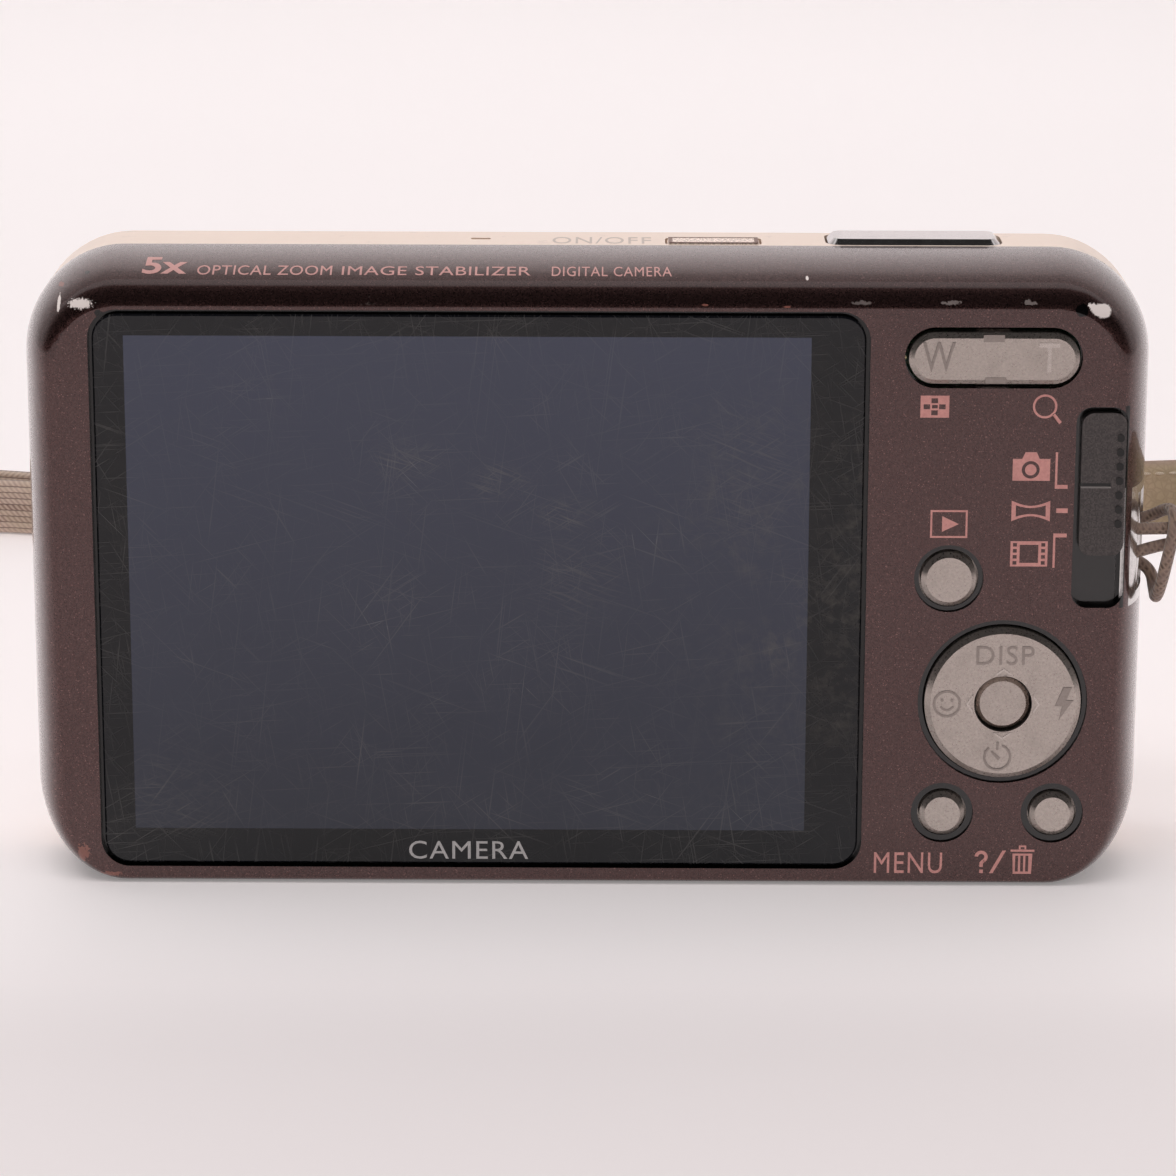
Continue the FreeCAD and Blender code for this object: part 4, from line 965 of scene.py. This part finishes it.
# lower labels
label("label_menu", "MENU", (23.72, 29.32, 1.76 + D, 3.56 + D), bold=0.0, spacing=1.12)
icon("label_help", [arc_band(32.52, 3.2 + D, 0.40, 0.28, -62, 175),
                    [(32.40, 2.33 + D), (32.68, 2.33 + D), (32.68, 2.62 + D), (32.83, 2.83 + D), (32.62, 2.97 + D), (32.40, 2.72 + D)],
                    rect(32.39, 32.69, 1.8 + D, 2.1 + D)])
icon("mark_slash", [[(33.2, 1.8 + D), (33.5, 1.8 + D), (34.55, 3.75 + D), (34.25, 3.75 + D)]])
bin_ = [[(35.15, 1.75 + D), (36.65, 1.75 + D), (36.72, 3.5 + D), (35.08, 3.5 + D)]]
for k in range(3):
    bin_.append([(35.32 + 0.42 * k, 1.95 + D), (35.56 + 0.42 * k, 1.95 + D), (35.56 + 0.42 * k, 3.32 + D), (35.32 + 0.42 * k, 3.32 + D)])
icon("mark_bin", bin_)
icon("mark_bin_lid", [rect(34.92, 36.88, 3.66 + D, 3.84 + D), rect(35.6, 36.2, 3.86 + D, 4.2 + D), rect(35.74, 36.06, 3.88 + D, 4.06 + D)])
# plain word on the window border
label("label_window", "CAMERA", (-14.5, -4.7, 2.85 + D, 4.4 + D), grey_print, y=-9.6, thick=0.01, bold=0.0, spacing=1.1,
      slotname="window_panel")
# words on the upper edge
on_edge(text_mesh("5x", "edge_5x", 0.02), "label_5x", -35.6, -32.05, 47.3, 23.5, pink_top)
on_edge(text_mesh("OPTICAL ZOOM", "edge_zoom", 0.0, 1.05), "label_zoom", -31.2, -20.4, 48.2, 35.6, pink_top)
on_edge(text_mesh("IMAGE STABILIZER", "edge_stab", 0.0, 1.05), "label_stabilizer", -19.6, -4.5, 48.0, 36.2, pink_top)
on_edge(text_mesh("DIGITAL CAMERA", "edge_kind", 0.0, 1.1), "label_kind", -2.8, 6.8, 48.6, 35.8, pink_top)

# power label on the front cover's top
me = text_mesh("ON/OFF", "onoff", 0.0, 1.1)
fit(me, (-2.9, 5.2, 1.5, 4.5))
for v in me.vertices:
    v.co = Vector((v.co.x * MM, v.co.y * MM, (51.5 - 0.01 + (v.co.z + 0.5) * 0.02) * MM))
o = bpy.data.objects.new("label_power", me)
coll.objects.link(o)
me.materials.clear()
me.materials.append(faint.m)
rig.ride(o, "camera_body")
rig.slot(o, "front_shell")

# raised marks on the control pad and the zoom rocker
PT = -10.15
PX, PZ = 33.9, 16.45 + D


def raised(name, me, body, y, thick, mat, slotname):
    return place(me, name, y, thick, mat, body=body, slotname=slotname, sink=0.03, bevel=0.018)


me = text_mesh("DISP", "disp", 0.0, 1.08)
fit(me, (31.65, 36.35, 19.75 + D, 21.35 + D))
raised("pad_mark_disp", me, "pad_ring", PT, 0.05, emboss_painted_shade, "button_metal")
sm = [circle(29.35, PZ, 1.15), circle(29.35, PZ, 0.95)]
raised("pad_mark_smile_ring", loops_mesh(sm, "smr"), "pad_ring", PT, 0.05, emboss_painted_shade, "button_metal")
raised("pad_mark_smile_face", loops_mesh([circle(28.95, PZ + 0.3, 0.13, 14), circle(29.75, PZ + 0.3, 0.13, 14),
                                          arc_band(29.35, PZ + 0.02, 0.55, 0.17, 205, 335)], "smf"), "pad_ring", PT, 0.05, emboss_painted_shade, "button_metal")
bolt = [(38.75, PZ + 1.45), (39.45, PZ + 1.45), (39.05, PZ + 0.35), (39.6, PZ + 0.35), (38.45, PZ - 1.35), (38.7, PZ - 0.15), (38.1, PZ - 0.15)]
raised("pad_mark_flash", loops_mesh([bolt], "flash"), "pad_ring", PT, 0.05, emboss_painted_shade, "button_metal")
tz = 11.95 + D
tm = [arc_band(33.55, tz, 1.05, 0.19, -230, 70), [(33.46, tz + 0.62), (33.64, tz + 0.62), (33.64, tz + 1.3), (33.46, tz + 1.3)],
      [(33.0, tz + 0.42), (33.12, tz + 0.55), (33.82, tz - 0.05), (33.62, tz - 0.28)]]
raised("pad_mark_timer", loops_mesh(tm, "timer"), "pad_ring", PT, 0.05, emboss_painted_shade, "button_metal")
# small arrow heads round the middle hole
for k, (dx, dz) in enumerate(((0, 1), (1, 0), (0, -1), (-1, 0))):
    tip, basew, r0, r1 = 0.16, 0.85, 2.42, 3.02
    lp = []
    for s_ in (-1, 1):
        lp.append((PX + dx * r0 + dz * basew * s_, PZ + dz * r0 + dx * basew * s_))
    lp.append((PX + dx * r1, PZ + dz * r1))
    inner = [(PX + dx * (r0 + 0.02) + dz * (basew - 0.3) * s_, PZ + dz * (r0 + 0.02) + dx * (basew - 0.3) * s_) for s_ in (-1, 1)]
    inner.append((PX + dx * (r1 - 0.22), PZ + dz * (r1 - 0.22)))
    raised("pad_arrow_%d" % k, loops_mesh([lp, inner], "arr%d" % k), "pad_ring", PT, 0.04, emboss_painted_light, "button_metal")

ZT = -10.05
me = text_mesh("W", "w", 0.0)
fit(me, (26.75, 29.35, 43.95 + D, 46.35 + D))
raised("zoom_mark_wide", me, "zoom", ZT, 0.05, emboss_painted_shade, "button_metal")
me = text_mesh("T", "t", 0.01)
fit(me, (36.0, 37.65, 43.95 + D, 46.3 + D))
raised("zoom_mark_tele", me, "zoom", ZT, 0.05, emboss_painted_light, "button_metal")
# grip notches of the rocker
raised("zoom_notch_high", loops_mesh([rect(31.55, 33.25, 46.35 + D, 46.95 + D)], "znh"), "zoom", -9.8, 0.26, emboss_painted_shade, "button_metal")
raised("zoom_notch_low", loops_mesh([rect(31.75, 33.45, 43.0 + D, 43.5 + D)], "znl"), "zoom", -9.8, 0.28, emboss_painted_shade, "button_metal")

# small lamp slot beside the power button and its thin frame
fr = loops_mesh([rect(6.62, 13.98, 1.42, 4.03), rect(6.95, 13.65, 1.68, 3.78)], "pwf")
for v in fr.vertices:
    v.co = Vector((v.co.x * MM, v.co.y * MM, (51.6 - 0.02 + (v.co.z + 0.5) * 0.04) * MM))
o = bpy.data.objects.new("power_frame", fr)
coll.objects.link(o)
fr.materials.clear()
fr.materials.append(brown_line.m)
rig.ride(o, "power")
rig.slot(o, "power_metal")

# ------------------------------------------------------------------ floor, backdrop and light
M = Mat("studio_paper")
x, y, z = M.xyz()
n = M.noise(3.0, 3.0, 0.5)
fine = M.noise(900.0, 3.0, 0.6)
col = M.mix(M.rng(n, 0.3, 0.7), (0.855, 0.79, 0.792), (0.88, 0.815, 0.816))
col = M.mix(M.rng(fine, 0.72, 0.78, 0.0, 0.08), col, (0.6, 0.57, 0.58))
back = M.rng(y, 0.12, 0.55, 0.0, 1.0, True)
M.set(Base_Color=col, Roughness=M.rng(fine, 0.3, 0.7, 0.55, 0.65), Specular_IOR_Level=0.25)
M.put(M.b.inputs["Emission Color"], (0.90, 0.880, 0.878))
# the paper glows a little everywhere and more towards the backdrop; the strip just in front of the object glows most,
# painted light that fills its shadow
M.put(M.b.inputs["Emission Strength"], M.math("ADD", M.math("ADD", M.math("MULTIPLY", back, 0.10), 0.06), M.rng(y, -0.05, -0.014, 0.0, 0.17, True)))
prof = []
for k in range(0, 25):
    prof.append((-1.6 + 0.0925 * k, 0.0))
R0, yb = 0.45, 0.62
for k in range(1, 25):
    a = math.radians(90 * k / 24)
    prof.append((yb + R0 * math.sin(a), R0 - R0 * math.cos(a)))
prof.append((yb + R0, 2.2))
verts, faces = [], []
for (yy, zz) in prof:
    verts += [(-2.6, yy, zz), (2.6, yy, zz)]
for i in range(len(prof) - 1):
    faces.append((2 * i, 2 * i + 1, 2 * i + 3, 2 * i + 2))
floor = add_mesh("studio_floor", verts, faces)
floor.data.materials.append(M.m)
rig.stage(floor)


def area(name, loc, aim, size, power, color=(1, 1, 1), glossy=True, size_y=None):
    ld = bpy.data.lights.new(name, "AREA")
    ld.shape = "RECTANGLE"
    ld.size, ld.size_y = size, size_y or size
    ld.energy = power
    ld.color = color
    o = bpy.data.objects.new(name, ld)
    coll.objects.link(o)
    o.location = loc
    o.rotation_euler = (Vector(aim) - Vector(loc)).to_track_quat("-Z", "Y").to_euler()
    o.visible_glossy = glossy
    o.visible_camera = False
    return o


area("key_overhead", (-0.22, -0.06, 1.28), (0, 0, 0), 1.3, 9.8, (1.0, 0.985, 0.985), glossy=False)
area("fill_front", (0.1, -1.0, 0.95), (0, -0.05, 0.02), 1.6, 7.2, (1.0, 0.98, 0.98), glossy=False)

wd = bpy.data.worlds.new("studio")
sc.world = wd
wd.use_nodes = True
wt = wd.node_tree
wt.nodes.clear()
wo = wt.nodes.new("ShaderNodeOutputWorld")
bg = wt.nodes.new("ShaderNodeBackground")
wt.links.new(bg.outputs[0], wo.inputs[0])
tc = wt.nodes.new("ShaderNodeTexCoord")
sep = wt.nodes.new("ShaderNodeSeparateXYZ")
wt.links.new(tc.outputs["Generated"], sep.inputs[0])


def wmath(op, a, b):
    n = wt.nodes.new("ShaderNodeMath")
    n.operation = op
    for i, v in enumerate((a, b)):
        if isinstance(v, bpy.types.NodeSocket):
            wt.links.new(v, n.inputs[i])
        else:
            n.inputs[i].default_value = v
    return n.outputs[0]


def wrng(v, a, b, c, d, smooth=False):
    n = wt.nodes.new("ShaderNodeMapRange")
    n.interpolation_type = "SMOOTHSTEP" if smooth else "LINEAR"
    wt.links.new(v, n.inputs[0])
    for i, q in enumerate((a, b, c, d)):
        n.inputs[i + 1].default_value = q
    return n.outputs[0]


wx, wy, wz = sep.outputs
s_ = wmath("SUBTRACT", wmath("MULTIPLY", wy, 0.978), wmath("MULTIPLY", wz, 0.208))
over = wmath("MULTIPLY", wrng(s_, -0.03, 0.05, 0.0, 0.74), wrng(wz, 0.25, 0.6, 0.0, 1.0, True))
late = wmath("MULTIPLY", wrng(wy, -0.25, 0.85, 0.0, 1.0, True), wrng(wz, 0.5, 0.85, 1.0, 0.0, True))
lum = wmath("ADD", wmath("MAXIMUM", over, late), 0.025)
col = wt.nodes.new("ShaderNodeMix")
col.data_type = "RGBA"
col.blend_type = "MULTIPLY"
col.inputs[0].default_value = 1.0
col.inputs[6].default_value = (0.98, 0.955, 0.96, 1)
comb = wt.nodes.new("ShaderNodeCombineXYZ")
for i in range(3):
    wt.links.new(lum, comb.inputs[i])
wt.links.new(comb.outputs[0], col.inputs[7])
wt.links.new(col.outputs[2], bg.inputs[0])
bg.inputs[1].default_value = 1.0

# ------------------------------------------------------------------ close
bpy.context.view_layer.update()
vis_box = [list(c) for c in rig.bounds()]
with open("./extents.json", "w") as fh:
    json.dump({"cad": [[float(v) for v in c] for c in cad_box], "visual": [[float(v) for v in c] for c in vis_box]}, fh)
